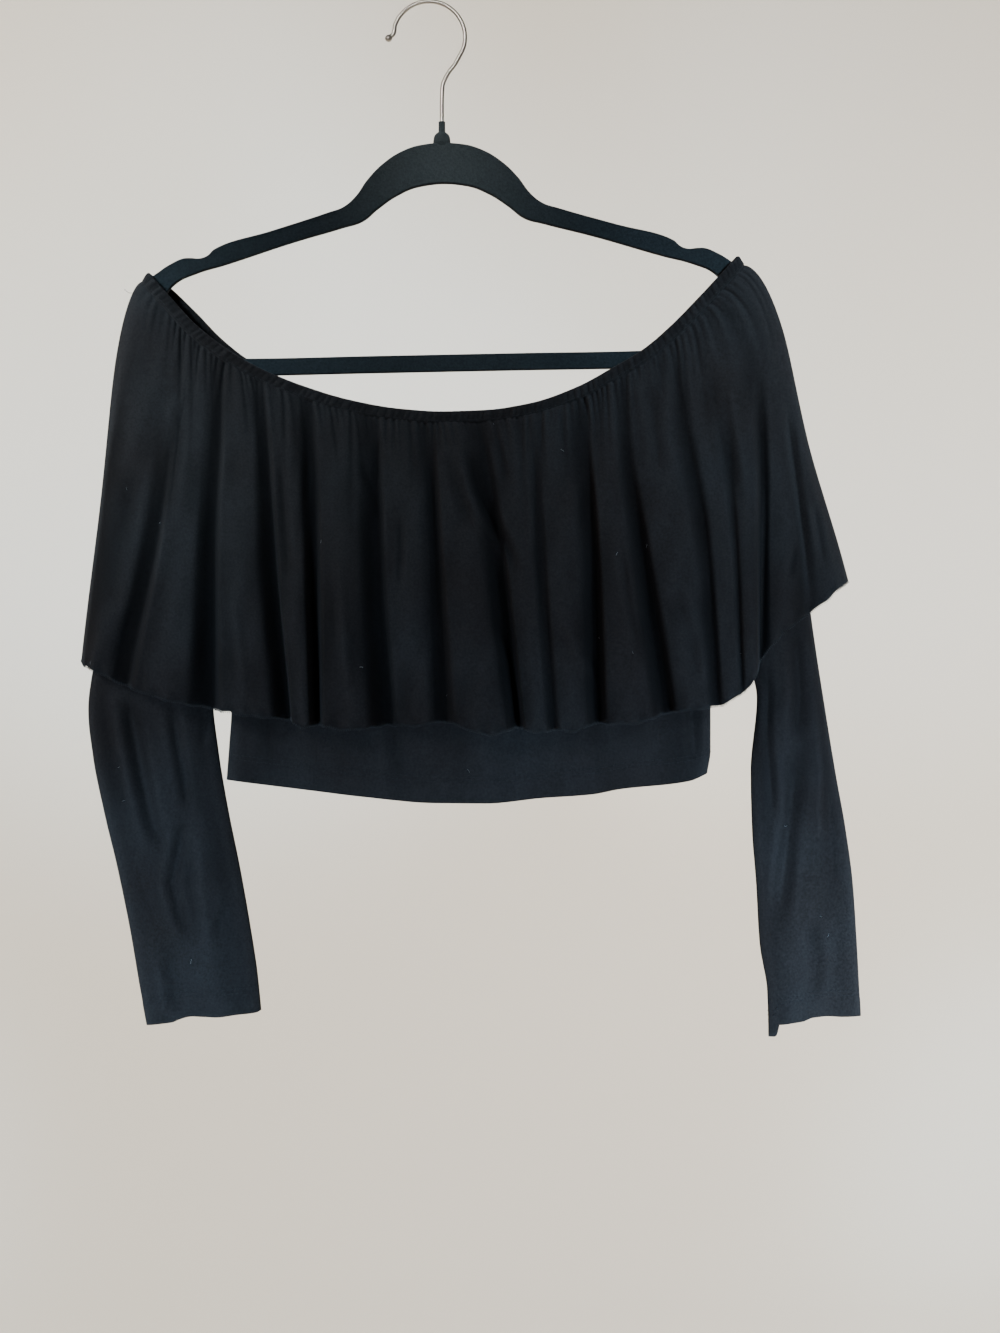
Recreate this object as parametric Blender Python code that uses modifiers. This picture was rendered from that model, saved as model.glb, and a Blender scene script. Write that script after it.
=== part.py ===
"""An off-shoulder crop top of black jersey on a slim flocked hanger, as solids at real size.

The top hangs flat from a hanger: a gathered elastic casing round the neck, a deep gathered flounce in two
pieces over the front, the back and both arms, a front and a back bodice, and two long plain sleeves.
+Z is up and the front faces -Y. The origin is where the hook rests, at the inside of its top.
Every size below is in millimetres and is turned to metres where a mesh or a curve is made.
"""

import math
from typing import NamedTuple

import bpy
import numpy as np

MM = 0.001

# Cloth
CLOTH = 1.2
SEAM = 0.3
CASING_HEIGHT = 9.0
CASING_GATHERS = 96
CASING_GATHER_RISE = 0.7
CASING_TOP_DIP = 0.5
LAYER_OFFSET = 0.85
TOP_EDGE_DROP = CASING_HEIGHT + 2.0 * SEAM

# Neck opening, seen from above: a slot with blunt ends
NECK_DEPTH = 12.0
NECK_SIDE_POWER = 8.0
NECK_END_POWER = 3.0
NECK_SAMPLES = 4000
TIP_EASING = 0.35
TIP_POWER = 12.0

# Flounce
FRONT_COLUMN_SPREAD = 13.0
BACK_COLUMN_SPREAD = 18.0
FEWEST_FOLD_COLUMNS = 2
MOST_FOLD_COLUMNS = 4
FLOUNCE_ROWS = 10
FLOUNCE_ROW_SPACING = 1.3
FLOUNCE_DROP = CASING_HEIGHT + 3.0 * SEAM
FLOUNCE_LEVELS = (0.0, 0.2, 0.55, 1.0)
FLARE_POWER = 0.5
GATHER_RISE = 0.9
GATHER_SPACING = 3.5
GATHER_REACH = 0.16
SIDE_SEAM_OUT = 0.55

# Bodice and sleeves, whose columns lie partly evenly and partly closer to the edges
EVEN_SHARE = 0.5
TOP_BLEND_POWER = 6
CREASE_REACH = 7.0
CREASE_SIDE_FADE = 3.0

# Bodice
BODICE_COLUMNS = 22
BODICE_ROWS = 11
BODICE_FRONT_DEPTH = 13.0
BODICE_BACK_DEPTH = 11.5
BODICE_SIDE_POWER = 7.0

# Sleeves
SLEEVE_COLUMNS = 11
CAP_ROWS = 8
CAP_ROW_SPACING = 1.6
TUBE_ROWS = 12
TUBE_START = 0.0009
SLEEVE_FOLD_POWER = 6.0
ARMHOLE_DEPTH = 10.6
ARMHOLE_CLOSES_OVER = 46.0
ARMHOLE_TURNS_BELOW = 6.0
SEAM_HALF_ROOM = 0.25
UNDERARM_FADE = 60.0
CLOSING_POWER = 2.5
FOLD_POWER = 9.0
LEFT_CUFF_DROOP = 0.0
RIGHT_CUFF_DROOP = 8.0
CUFF_DROOP_POWER = 14.0

# Hanger
HANGER_THICKNESS = 5.4
HANGER_EDGE = 1.1
HANGER_BASE_X = 9.4
HANGER_BASE_Z = -102.0
HANGER_TILT = math.radians(1.15)
HANGER_SMOOTHNESS = 2
HOOK_WIRE = 3.0
HOOK_RADIUS = 26.4
HOOK_CENTRE_Z = HOOK_WIRE / 2.0 - HOOK_RADIUS
HOOK_OPENS_AT = math.radians(162.0)
HOOK_STRAIGHTENS_AT = math.radians(-20.0)
HOOK_BALL = 5.2
HOOK_BALL_X = -29.6
HOOK_BALL_Z = -25.6
HOOK_BALL_TURNS = (165.0, 145.0, 120.0, 95.0, 70.0, 50.0, 36.0)
HOOK_BEND_POINTS = 22
HOOK_STEM_POINTS = 13
HOOK_SMOOTHNESS = 2
COLLAR_BORE = 3.7
COLLAR_STEPS = 20

FRONT = -1.0
BACK = 1.0


class EdgePoint(NamedTuple):
    """A point of an outline, seen from the front."""

    x: float
    z: float


class Fold(NamedTuple):
    """A ridge or a trough of the flounce, from the casing down to the hem.

    The x columns say where it lies at the neckline, a fifth of the way down, halfway down and at the hem.
    The out columns say how far it stands from the hanger's middle plane.
    """

    neck_x: float
    upper_x: float
    lower_x: float
    hem_x: float
    hem_z: float
    upper_out: float
    lower_out: float
    hem_out: float


class SleeveSection(NamedTuple):
    """A section across a sleeve, from its inner fold to its outer fold, with half its depth."""

    inner_x: float
    inner_z: float
    outer_x: float
    outer_z: float
    depth: float


class Crease(NamedTuple):
    """A soft crease pressed into one side of a sleeve or of the bodice."""

    side: float
    start_x: float
    start_z: float
    end_x: float
    end_z: float
    press: float


class CasingCorner(NamedTuple):
    """A corner of the casing's section, with its share of each gather's rise."""

    out: float
    down: float
    ripple: float


class HangerPoint(NamedTuple):
    """A point of the hanger's outline, from its middle line out and from its top down."""

    out: float
    z: float


NECK_FRONT = (
    EdgePoint(-204.5, -198.0),
    EdgePoint(-199.0, -204.5),
    EdgePoint(-189.8, -214.8),
    EdgePoint(-170.0, -236.5),
    EdgePoint(-148.8, -253.5),
    EdgePoint(-121.7, -269.5),
    EdgePoint(-92.4, -281.5),
    EdgePoint(-57.9, -292.0),
    EdgePoint(-21.3, -298.5),
    EdgePoint(8.0, -300.5),
    EdgePoint(41.0, -299.5),
    EdgePoint(74.0, -294.5),
    EdgePoint(107.8, -282.8),
    EdgePoint(132.7, -269.4),
    EdgePoint(156.9, -254.7),
    EdgePoint(178.0, -236.5),
    EdgePoint(201.6, -212.0),
    EdgePoint(214.0, -198.5),
    EdgePoint(225.0, -186.0),
)

# The casing's section, from the inside's lower edge over the top to the outside's lower edge
CASING_SECTION = (
    CasingCorner(-1.6, 9.0, 0.0),
    CasingCorner(-1.6, 1.2, 0.0),
    CasingCorner(0.0, 0.0, 0.4),
    CasingCorner(1.28, 1.4, 0.8),
    CasingCorner(1.6, 4.5, 1.0),
    CasingCorner(1.6, 9.0, 0.0),
)

# How far the back neckline lies above the front one
NECK_BACK_RISE = (
    EdgePoint(-204.5, 0.0),
    EdgePoint(-199.0, 3.0),
    EdgePoint(-189.0, 7.0),
    EdgePoint(-172.0, 9.5),
    EdgePoint(-156.0, 6.5),
    EdgePoint(-135.0, 3.5),
    EdgePoint(-113.0, 2.5),
    EdgePoint(8.0, 1.5),
    EdgePoint(178.0, 2.0),
    EdgePoint(214.0, 1.0),
    EdgePoint(225.0, 0.0),
)

FRONT_FOLDS = (
    Fold(-204.5, -229.0, -239.5, -254.5, -481.5, 0.5, 0.5, 0.5),
    Fold(-203.6, -227.0, -238.0, -252.0, -483.5, 6.0, 7.0, 8.0),
    Fold(-192.0, -208.0, -219.0, -241.0, -489.0, 13.0, 18.0, 20.0),
    Fold(-178.0, -186.0, -197.0, -222.0, -498.0, 13.5, 17.0, 17.0),
    Fold(-165.0, -171.0, -177.0, -188.0, -509.5, 15.0, 23.0, 28.0),
    Fold(-147.0, -153.0, -157.0, -158.0, -515.5, 14.0, 17.0, 17.0),
    Fold(-135.0, -134.0, -134.0, -127.0, -521.0, 17.0, 25.0, 31.0),
    Fold(-121.0, -118.0, -112.0, -101.0, -523.5, 15.5, 17.5, 18.0),
    Fold(-106.0, -101.0, -96.0, -88.5, -530.0, 18.0, 26.0, 33.0),
    Fold(-88.0, -85.5, -83.0, -80.5, -527.5, 15.5, 17.5, 19.0),
    Fold(-68.0, -65.0, -62.0, -58.0, -531.0, 18.0, 27.0, 35.0),
    Fold(-42.0, -39.0, -36.0, -28.0, -528.0, 15.5, 17.5, 19.0),
    Fold(-22.0, -19.5, -14.5, -7.0, -528.0, 17.5, 24.0, 29.0),
    Fold(-1.0, 2.0, 6.0, 10.0, -525.0, 16.0, 20.5, 24.0),
    Fold(13.0, 20.0, 29.0, 44.5, -534.5, 18.0, 27.0, 35.0),
    Fold(31.0, 42.0, 53.0, 65.0, -529.5, 15.5, 17.5, 20.0),
    Fold(60.0, 66.0, 71.0, 79.0, -533.0, 17.5, 26.0, 34.0),
    Fold(76.0, 79.0, 83.0, 90.0, -531.0, 17.0, 23.0, 29.0),
    Fold(89.0, 92.0, 97.0, 105.0, -532.0, 17.5, 25.5, 33.0),
    Fold(106.0, 114.0, 119.5, 122.0, -526.5, 15.0, 17.5, 20.0),
    Fold(121.0, 129.0, 136.0, 146.0, -526.5, 16.5, 25.0, 32.0),
    Fold(136.0, 142.5, 155.0, 173.0, -519.0, 14.5, 17.0, 18.0),
    Fold(154.0, 164.0, 178.0, 193.0, -516.0, 15.5, 23.0, 29.0),
    Fold(170.0, 184.0, 200.0, 209.0, -514.0, 13.5, 18.0, 23.0),
    Fold(179.0, 196.0, 212.0, 220.0, -509.0, 14.5, 20.5, 28.0),
    Fold(187.0, 207.0, 223.0, 229.5, -502.5, 13.5, 16.0, 20.0),
    Fold(196.0, 224.0, 233.0, 236.5, -496.5, 14.0, 19.5, 27.0),
    Fold(204.0, 237.0, 241.0, 241.5, -481.0, 12.5, 12.0, 11.5),
    Fold(212.0, 247.0, 254.0, 257.0, -460.5, 11.5, 15.0, 19.0),
    Fold(218.5, 253.5, 267.0, 277.5, -446.5, 9.0, 9.5, 10.0),
    Fold(222.5, 257.0, 272.5, 291.0, -436.5, 6.5, 8.5, 11.0),
    Fold(224.4, 258.3, 276.0, 303.5, -425.5, 3.6, 4.2, 5.0),
    Fold(225.0, 258.5, 277.0, 307.0, -423.5, 0.5, 0.5, 0.5),
)

BACK_FOLDS = (
    Fold(-204.5, -229.0, -239.5, -254.5, -481.5, 0.5, 0.5, 0.5),
    Fold(-203.6, -227.0, -238.0, -252.0, -484.0, 6.0, 7.0, 7.0),
    Fold(-190.0, -207.0, -219.0, -233.0, -495.0, 13.0, 16.0, 18.0),
    Fold(-166.0, -173.0, -181.0, -196.0, -506.0, 13.0, 14.5, 14.5),
    Fold(-143.0, -145.0, -150.0, -160.0, -514.0, 15.0, 19.0, 23.0),
    Fold(-119.0, -120.0, -121.0, -127.0, -520.0, 14.0, 15.0, 15.0),
    Fold(-96.0, -93.0, -91.0, -88.0, -526.0, 15.5, 20.0, 25.0),
    Fold(-70.0, -66.0, -60.0, -56.0, -525.0, 14.0, 15.0, 15.5),
    Fold(-43.0, -38.0, -31.0, -22.0, -530.0, 15.5, 20.5, 26.0),
    Fold(-14.0, -10.0, -4.0, 6.0, -526.0, 14.0, 15.0, 16.0),
    Fold(16.0, 22.0, 30.0, 38.0, -531.0, 15.5, 20.5, 25.0),
    Fold(44.0, 50.0, 59.0, 70.0, -526.0, 14.0, 15.0, 15.5),
    Fold(76.0, 82.0, 90.0, 104.0, -528.0, 15.0, 20.0, 25.0),
    Fold(105.0, 114.0, 123.0, 134.0, -522.0, 13.5, 15.0, 15.0),
    Fold(134.0, 146.0, 158.0, 171.0, -517.0, 14.0, 18.5, 23.0),
    Fold(160.0, 176.0, 190.0, 203.0, -506.0, 12.5, 14.0, 14.5),
    Fold(182.0, 206.0, 220.0, 231.0, -487.0, 14.0, 16.0, 18.0),
    Fold(200.0, 230.0, 243.0, 256.0, -463.0, 13.5, 13.0, 12.5),
    Fold(215.0, 249.0, 263.0, 280.0, -446.0, 10.0, 11.5, 13.0),
    Fold(224.2, 258.0, 275.5, 302.0, -427.0, 3.6, 5.0, 6.0),
    Fold(225.0, 258.5, 277.0, 307.0, -423.5, 0.5, 0.5, 0.5),
)

# Where the armhole seams leave the neckline, and their way down to the underarm
LEFT_ARMHOLE_NECK_X = -127.5
RIGHT_ARMHOLE_NECK_X = 162.0
LEFT_ARMHOLE = (
    EdgePoint(-134.5, -305.0),
    EdgePoint(-141.0, -349.0),
    EdgePoint(-148.0, -393.0),
    EdgePoint(-151.5, -425.0),
)
RIGHT_ARMHOLE = (
    EdgePoint(172.0, -298.0),
    EdgePoint(181.0, -342.0),
    EdgePoint(194.0, -386.0),
    EdgePoint(205.5, -424.0),
)

# The side seams from the underarm to the hem
LEFT_SIDE = (
    EdgePoint(-151.5, -425.0),
    EdgePoint(-147.0, -455.0),
    EdgePoint(-144.5, -518.0),
    EdgePoint(-146.0, -542.0),
    EdgePoint(-148.0, -568.8),
)
RIGHT_SIDE = (
    EdgePoint(205.5, -424.0),
    EdgePoint(204.5, -455.0),
    EdgePoint(206.0, -517.0),
    EdgePoint(206.0, -547.0),
    EdgePoint(203.5, -564.0),
)

BODICE_HEM = (
    EdgePoint(-148.0, -568.8),
    EdgePoint(-97.0, -574.7),
    EdgePoint(-46.2, -580.9),
    EdgePoint(4.4, -585.3),
    EdgePoint(42.5, -585.6),
    EdgePoint(80.6, -581.8),
    EdgePoint(118.7, -579.0),
    EdgePoint(139.3, -575.2),
    EdgePoint(189.8, -569.5),
    EdgePoint(203.5, -564.0),
)

LEFT_OUTER_FOLD = (
    EdgePoint(-213.3, -221.0),
    EdgePoint(-221.0, -262.0),
    EdgePoint(-228.0, -330.0),
    EdgePoint(-236.0, -412.0),
)
RIGHT_OUTER_FOLD = (
    EdgePoint(239.7, -217.0),
    EdgePoint(252.0, -261.0),
    EdgePoint(263.5, -327.0),
    EdgePoint(273.0, -397.0),
)

LEFT_SECTIONS = (
    SleeveSection(-151.5, -425.0, -236.0, -412.0, 9.0),
    SleeveSection(-156.5, -470.0, -242.5, -466.0, 9.0),
    SleeveSection(-158.5, -510.0, -249.5, -517.0, 8.8),
    SleeveSection(-154.5, -548.0, -246.0, -552.0, 8.6),
    SleeveSection(-147.5, -590.0, -238.0, -592.0, 8.4),
    SleeveSection(-138.8, -633.0, -228.0, -634.0, 8.2),
    SleeveSection(-131.5, -674.0, -218.8, -679.0, 8.0),
    SleeveSection(-126.0, -710.0, -211.8, -720.0, 7.8),
    SleeveSection(-123.2, -737.5, -206.5, -748.5, 7.6),
)
RIGHT_SECTIONS = (
    SleeveSection(205.5, -424.0, 273.0, -397.0, 9.0),
    SleeveSection(227.0, -468.0, 281.5, -462.0, 9.0),
    SleeveSection(240.5, -510.0, 289.0, -511.0, 8.8),
    SleeveSection(236.0, -562.0, 297.5, -563.0, 8.6),
    SleeveSection(237.0, -605.0, 304.8, -604.0, 8.4),
    SleeveSection(240.0, -645.0, 310.3, -645.0, 8.2),
    SleeveSection(242.5, -688.0, 313.3, -690.0, 8.0),
    SleeveSection(248.0, -722.0, 315.0, -722.0, 7.8),
    SleeveSection(253.0, -748.5, 316.0, -742.0, 7.6),
)

LEFT_CREASES = (
    Crease(FRONT, -221.0, -500.0, -198.0, -612.0, 3.0),
    Crease(FRONT, -189.0, -512.0, -177.0, -592.0, 2.6),
    Crease(FRONT, -183.0, -628.0, -176.0, -690.0, 2.4),
    Crease(FRONT, -189.0, -700.0, -184.5, -736.0, 1.8),
    Crease(BACK, -215.0, -520.0, -190.0, -600.0, 2.6),
    Crease(BACK, -170.0, -630.0, -178.0, -705.0, 2.2),
)
RIGHT_CREASES = (
    Crease(FRONT, 269.0, -470.0, 269.0, -545.0, 3.0),
    Crease(FRONT, 267.0, -575.0, 257.0, -660.0, 3.0),
    Crease(FRONT, 290.0, -560.0, 296.0, -650.0, 1.6),
    Crease(BACK, 262.0, -500.0, 278.0, -590.0, 2.6),
    Crease(BACK, 290.0, -640.0, 284.0, -710.0, 2.2),
)
FRONT_BODICE_CREASES = (
    Crease(FRONT, 191.0, -500.0, 192.5, -556.0, 2.6),
    Crease(FRONT, -40.0, -380.0, -48.0, -470.0, 1.6),
    Crease(FRONT, 60.0, -370.0, 72.0, -480.0, 1.6),
)
BACK_BODICE_CREASES = (
    Crease(BACK, -60.0, -400.0, -66.0, -500.0, 1.6),
    Crease(BACK, 90.0, -390.0, 96.0, -520.0, 1.6),
)

# The hanger's outline from the top of the arch to the middle of the bar, and the notch on each arm
HANGER_OUTSIDE = (
    HangerPoint(14.0, -1.6),
    HangerPoint(29.0, -6.0),
    HangerPoint(43.0, -14.6),
    HangerPoint(55.0, -26.4),
    HangerPoint(64.0, -38.6),
    HangerPoint(73.0, -46.0),
    HangerPoint(84.0, -49.8),
    HangerPoint(125.0, -62.2),
    HangerPoint(168.0, -75.0),
    HangerPoint(173.5, -79.8),
    HangerPoint(179.0, -81.6),
    HangerPoint(185.5, -81.2),
    HangerPoint(191.0, -81.4),
    HangerPoint(200.0, -85.2),
    HangerPoint(208.5, -90.5),
    HangerPoint(216.0, -96.9),
    HangerPoint(217.8, -107.0),
    HangerPoint(218.6, -120.0),
    HangerPoint(217.0, -135.0),
    HangerPoint(210.0, -150.5),
    HangerPoint(198.0, -162.0),
    HangerPoint(178.0, -167.4),
    HangerPoint(150.0, -168.0),
    HangerPoint(50.0, -168.0),
)
HANGER_INSIDE = (
    HangerPoint(17.0, -32.0),
    HangerPoint(34.0, -38.6),
    HangerPoint(48.0, -48.0),
    HangerPoint(59.0, -56.6),
    HangerPoint(74.0, -61.2),
    HangerPoint(110.0, -71.0),
    HangerPoint(160.0, -86.4),
    HangerPoint(182.0, -92.6),
    HangerPoint(197.0, -99.5),
    HangerPoint(204.0, -108.0),
    HangerPoint(206.5, -120.0),
    HangerPoint(204.5, -135.0),
    HangerPoint(197.0, -147.5),
    HangerPoint(181.0, -154.6),
    HangerPoint(150.0, -155.6),
    HangerPoint(50.0, -155.6),
)

# The wire from below the bend down to the collar
HOOK_STEM = (
    EdgePoint(19.6, -43.6),
    EdgePoint(13.2, -52.6),
    EdgePoint(9.9, -61.0),
    EdgePoint(9.4, -72.0),
    EdgePoint(9.4, -86.0),
    EdgePoint(9.4, -102.1),
)
HOOK_LIP = (
    EdgePoint(-25.9, -22.2),
    EdgePoint(-25.3, -19.4),
)

# The turned collar under the wire, as radius and height above the hanger's top
COLLAR_PROFILE = (
    (2.5, 15.2),
    (2.5, 7.4),
    (4.2, 6.2),
    (6.0, 4.4),
    (6.2, 1.8),
    (5.6, 0.0),
)

CLOTH_COLOUR = (0.012, 0.012, 0.014, 1.0)
FLOCK_COLOUR = (0.008, 0.009, 0.012, 1.0)
STEEL_COLOUR = (0.62, 0.62, 0.64, 1.0)


def clear_scene():
    """Removes the objects that a new Blender file holds."""
    for obj in list(bpy.data.objects):
        bpy.data.objects.remove(obj, do_unlink=True)


def smooth_curve(places, values):
    """A monotone cubic through the given values, as a function of place."""
    places = np.asarray(places, float)
    values = np.asarray(values, float)
    steps = np.diff(places)
    slopes = np.diff(values) / steps
    tangents = np.empty_like(values)
    tangents[0] = slopes[0]
    tangents[-1] = slopes[-1]
    same_way = slopes[:-1] * slopes[1:] > 0.0
    near = 2.0 * steps[1:] + steps[:-1]
    far = steps[1:] + 2.0 * steps[:-1]
    safe_before = np.where(same_way, slopes[:-1], 1.0)
    safe_after = np.where(same_way, slopes[1:], 1.0)
    mean = (near + far) / (near / safe_before + far / safe_after)
    tangents[1:-1] = np.where(same_way, mean, 0.0)

    def value(place):
        place = np.clip(place, places[0], places[-1])
        cell = np.clip(np.searchsorted(places, place, side="right") - 1, 0, len(steps) - 1)
        step = steps[cell]
        t = (place - places[cell]) / step
        start_weight = (1.0 + 2.0 * t) * (1.0 - t) ** 2
        end_weight = t * t * (3.0 - 2.0 * t)
        start_slope = t * (1.0 - t) ** 2 * step
        end_slope = t * t * (t - 1.0) * step
        return (
            start_weight * values[cell]
            + end_weight * values[cell + 1]
            + start_slope * tangents[cell]
            + end_slope * tangents[cell + 1]
        )

    return value


def path_curve(points):
    """A function from 0 to 1 that runs along outline points, by length."""
    xs = np.array([p.x for p in points])
    zs = np.array([p.z for p in points])
    lengths = np.concatenate([[0.0], np.cumsum(np.hypot(np.diff(xs), np.diff(zs)))])
    lengths /= lengths[-1]
    along_x = smooth_curve(lengths, xs)
    along_z = smooth_curve(lengths, zs)
    return lambda t: (along_x(t), along_z(t))


class NeckRing:
    """The path of the casing's top edge round the neck, with its directions, by length."""

    def __init__(self):
        half_turn = np.linspace(-math.pi / 2.0, math.pi / 2.0, NECK_SAMPLES)
        across = np.sin(half_turn)
        left = NECK_FRONT[0].x
        right = NECK_FRONT[-1].x
        xs = (left + right) / 2.0 + (right - left) / 2.0 * across
        depth = (1.0 - np.abs(across) ** NECK_SIDE_POWER) ** (1.0 / NECK_END_POWER)
        front_z = smooth_curve([p.x for p in NECK_FRONT], [p.z for p in NECK_FRONT])(xs)
        rise = smooth_curve([p.x for p in NECK_BACK_RISE], [p.z for p in NECK_BACK_RISE])(xs)
        front = np.stack([xs, FRONT * NECK_DEPTH * depth, front_z], axis=1)
        back = np.stack([xs, BACK * NECK_DEPTH * depth, front_z + rise], axis=1)
        self.points = np.concatenate([front, back[-2:0:-1]])
        tangent = np.roll(self.points, -1, axis=0) - np.roll(self.points, 1, axis=0)
        lean = np.arctan(np.gradient(front_z, xs)) * (1.0 - TIP_EASING * np.abs(across) ** TIP_POWER)
        lean = np.concatenate([lean, lean[-2:0:-1]])
        self.downward = np.stack([np.sin(lean), np.zeros(len(lean)), -np.cos(lean)], axis=1)
        outward = np.cross(self.downward, tangent)
        self.outward = outward / np.linalg.norm(outward, axis=1)[:, None]
        closed = np.concatenate([self.points, self.points[:1]])
        self.lengths = np.concatenate([[0.0], np.cumsum(np.linalg.norm(np.diff(closed, axis=0), axis=1))])
        self.tip_index = NECK_SAMPLES - 1

    def place(self, x, side):
        """How far along the ring the given x lies, on the front or the back."""
        if side == FRONT:
            return np.interp(x, self.points[: NECK_SAMPLES, 0], self.lengths[: NECK_SAMPLES])
        back_x = np.append(self.points[self.tip_index :, 0], self.points[0, 0])
        back_lengths = self.lengths[self.tip_index :]
        return np.interp(x, back_x[::-1], back_lengths[::-1])

    def at(self, length, out, down):
        """Points at lengths along the ring, moved out from it and down from it."""
        length = np.mod(length, self.lengths[-1])
        result = []
        for axis in range(3):
            moved = self.points[:, axis] + out * self.outward[:, axis] + down * self.downward[:, axis]
            result.append(np.interp(length, self.lengths, np.append(moved, moved[0])))
        return np.stack(result, axis=-1)


def principled(name, colour, roughness, metallic=0.0):
    """A plain Principled material."""
    material = bpy.data.materials.new(name)
    material.use_nodes = True
    shader = material.node_tree.nodes["Principled BSDF"]
    shader.inputs["Base Color"].default_value = colour
    shader.inputs["Roughness"].default_value = roughness
    shader.inputs["Metallic"].default_value = metallic
    return material


def add_mesh_object(name, points, faces, material, collection):
    """A smooth mesh object from points in millimetres."""
    mesh = bpy.data.meshes.new(name)
    mesh.from_pydata((np.asarray(points) * MM).tolist(), [], faces)
    mesh.materials.append(material)
    mesh.shade_smooth()
    obj = bpy.data.objects.new(name, mesh)
    collection.objects.link(obj)
    return obj


def thicken(obj):
    """Makes a cloth wall of an open surface, half to each side."""
    wall = obj.modifiers.new("Wall", "SOLIDIFY")
    wall.thickness = CLOTH * MM
    wall.offset = 0.0
    wall.use_even_offset = False
    wall.use_quality_normals = True


def grid_faces(rows, columns, outward_first):
    """The quads of a grid stored row by row."""
    faces = []
    for r in range(rows - 1):
        for c in range(columns - 1):
            a = r * columns + c
            quad = (a, a + 1, a + columns + 1, a + columns)
            faces.append(quad if outward_first else quad[::-1])
    return faces


def press_creases(points, creases):
    """Pushes soft creases into a wall, each fading out to its sides and its ends."""
    for crease in creases:
        start = np.array([crease.start_x, crease.start_z])
        run = np.array([crease.end_x, crease.end_z]) - start
        place = points[..., [0, 2]] - start
        along = np.clip(place @ run / (run @ run), 0.0, 1.0)
        away = np.linalg.norm(place - along[..., None] * run, axis=-1)
        amount = crease.press * np.exp(-((away / CREASE_REACH) ** 2))
        on_side = np.clip(points[..., 1] * crease.side / CREASE_SIDE_FADE, 0.0, 1.0)
        points[..., 1] -= crease.side * amount * on_side


def make_casing(ring, material, collection):
    """The gathered elastic casing: a closed band whose outside and top ripple."""
    stations = CASING_GATHERS * 2
    lengths = np.arange(stations) * ring.lengths[-1] / stations
    points = []
    for station, length in enumerate(lengths):
        rise = CASING_GATHER_RISE * (station % 2) - CASING_GATHER_RISE / 2.0
        for out, down, ripple in CASING_SECTION:
            points.append(ring.at(length, out + rise * ripple, down - rise * ripple * CASING_TOP_DIP))
    corners = len(CASING_SECTION)
    faces = []
    for station in range(stations):
        following = (station + 1) % stations
        for corner in range(corners):
            beside = (corner + 1) % corners
            a = station * corners + corner
            b = station * corners + beside
            c = following * corners + beside
            d = following * corners + corner
            faces.append((a, b, c, d))
    return add_mesh_object("neck_casing", points, faces, material, collection)


def flounce_points(ring, folds, side, column_spread):
    """The flounce's middle surface, as rows of points from the casing to the hem."""
    hem_x = np.array([f.hem_x for f in folds])
    neck_x = np.array([f.neck_x for f in folds])
    spread = np.hypot(np.diff(hem_x), np.diff([f.hem_z for f in folds])) + np.abs(np.diff(neck_x))
    fold_place = np.concatenate([[0.0], np.cumsum(spread)])
    columns = []
    for start, end in zip(fold_place[:-1], fold_place[1:]):
        steps = round((end - start) / column_spread)
        steps = min(max(steps, FEWEST_FOLD_COLUMNS), MOST_FOLD_COLUMNS)
        columns.extend(np.linspace(start, end, steps, endpoint=False))
    columns = np.append(columns, fold_place[-1])

    neck_lengths = np.array([ring.place(x, side) for x in neck_x])
    if side == BACK:
        neck_lengths[0] = ring.lengths[-1]
    column_lengths = smooth_curve(fold_place, neck_lengths)(columns)
    top = ring.at(column_lengths, LAYER_OFFSET, FLOUNCE_DROP)
    spacing = np.abs(np.gradient(column_lengths))
    gathered = GATHER_RISE * (np.arange(len(columns)) % 2) * (spacing > GATHER_SPACING)

    upper_x = smooth_curve(fold_place, [f.upper_x for f in folds])(columns)
    lower_x = smooth_curve(fold_place, [f.lower_x for f in folds])(columns)
    bottom_x = smooth_curve(fold_place, hem_x)(columns)
    bottom_z = smooth_curve(fold_place, [f.hem_z for f in folds])(columns)
    upper_out = smooth_curve(fold_place, [f.upper_out for f in folds])(columns)
    lower_out = smooth_curve(fold_place, [f.lower_out for f in folds])(columns)
    hem_out = smooth_curve(fold_place, [f.hem_out for f in folds])(columns)

    levels = np.array(FLOUNCE_LEVELS) ** FLARE_POWER
    falls = np.linspace(0.0, 1.0, FLOUNCE_ROWS + 1) ** FLOUNCE_ROW_SPACING
    points = np.empty((len(falls), len(columns), 3))
    for c in range(len(columns)):
        along_x = smooth_curve(levels, [top[c, 0], upper_x[c], lower_x[c], bottom_x[c]])
        along_out = smooth_curve(levels, [side * top[c, 1], upper_out[c], lower_out[c], hem_out[c]])
        gather = gathered[c] * np.clip(1.0 - falls / GATHER_REACH, 0.0, 1.0)
        points[:, c, 0] = along_x(falls**FLARE_POWER)
        points[:, c, 1] = side * (along_out(falls**FLARE_POWER) + gather)
        points[:, c, 2] = top[c, 2] + (bottom_z[c] - top[c, 2]) * falls
    edge = np.maximum(np.abs(points[:, [0, -1], 1]), SIDE_SEAM_OUT)
    points[:, [0, -1], 1] = side * edge
    return points


def make_flounce(name, ring, folds, side, column_spread, material, collection):
    """One gathered flounce, in front or behind."""
    points = flounce_points(ring, folds, side, column_spread)
    rows, columns = points.shape[:2]
    faces = grid_faces(rows, columns, side == BACK)
    obj = add_mesh_object(name, points.reshape(-1, 3), faces, material, collection)
    thicken(obj)
    return obj


def armhole_depth(z, underarm_z):
    """How far the armhole's seam stands from the middle plane, closing at the underarm."""
    above = np.clip((z - underarm_z) / ARMHOLE_CLOSES_OVER, 0.0, 1.0)
    return ARMHOLE_DEPTH * np.sqrt(1.0 - (1.0 - above) ** 2)


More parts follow.
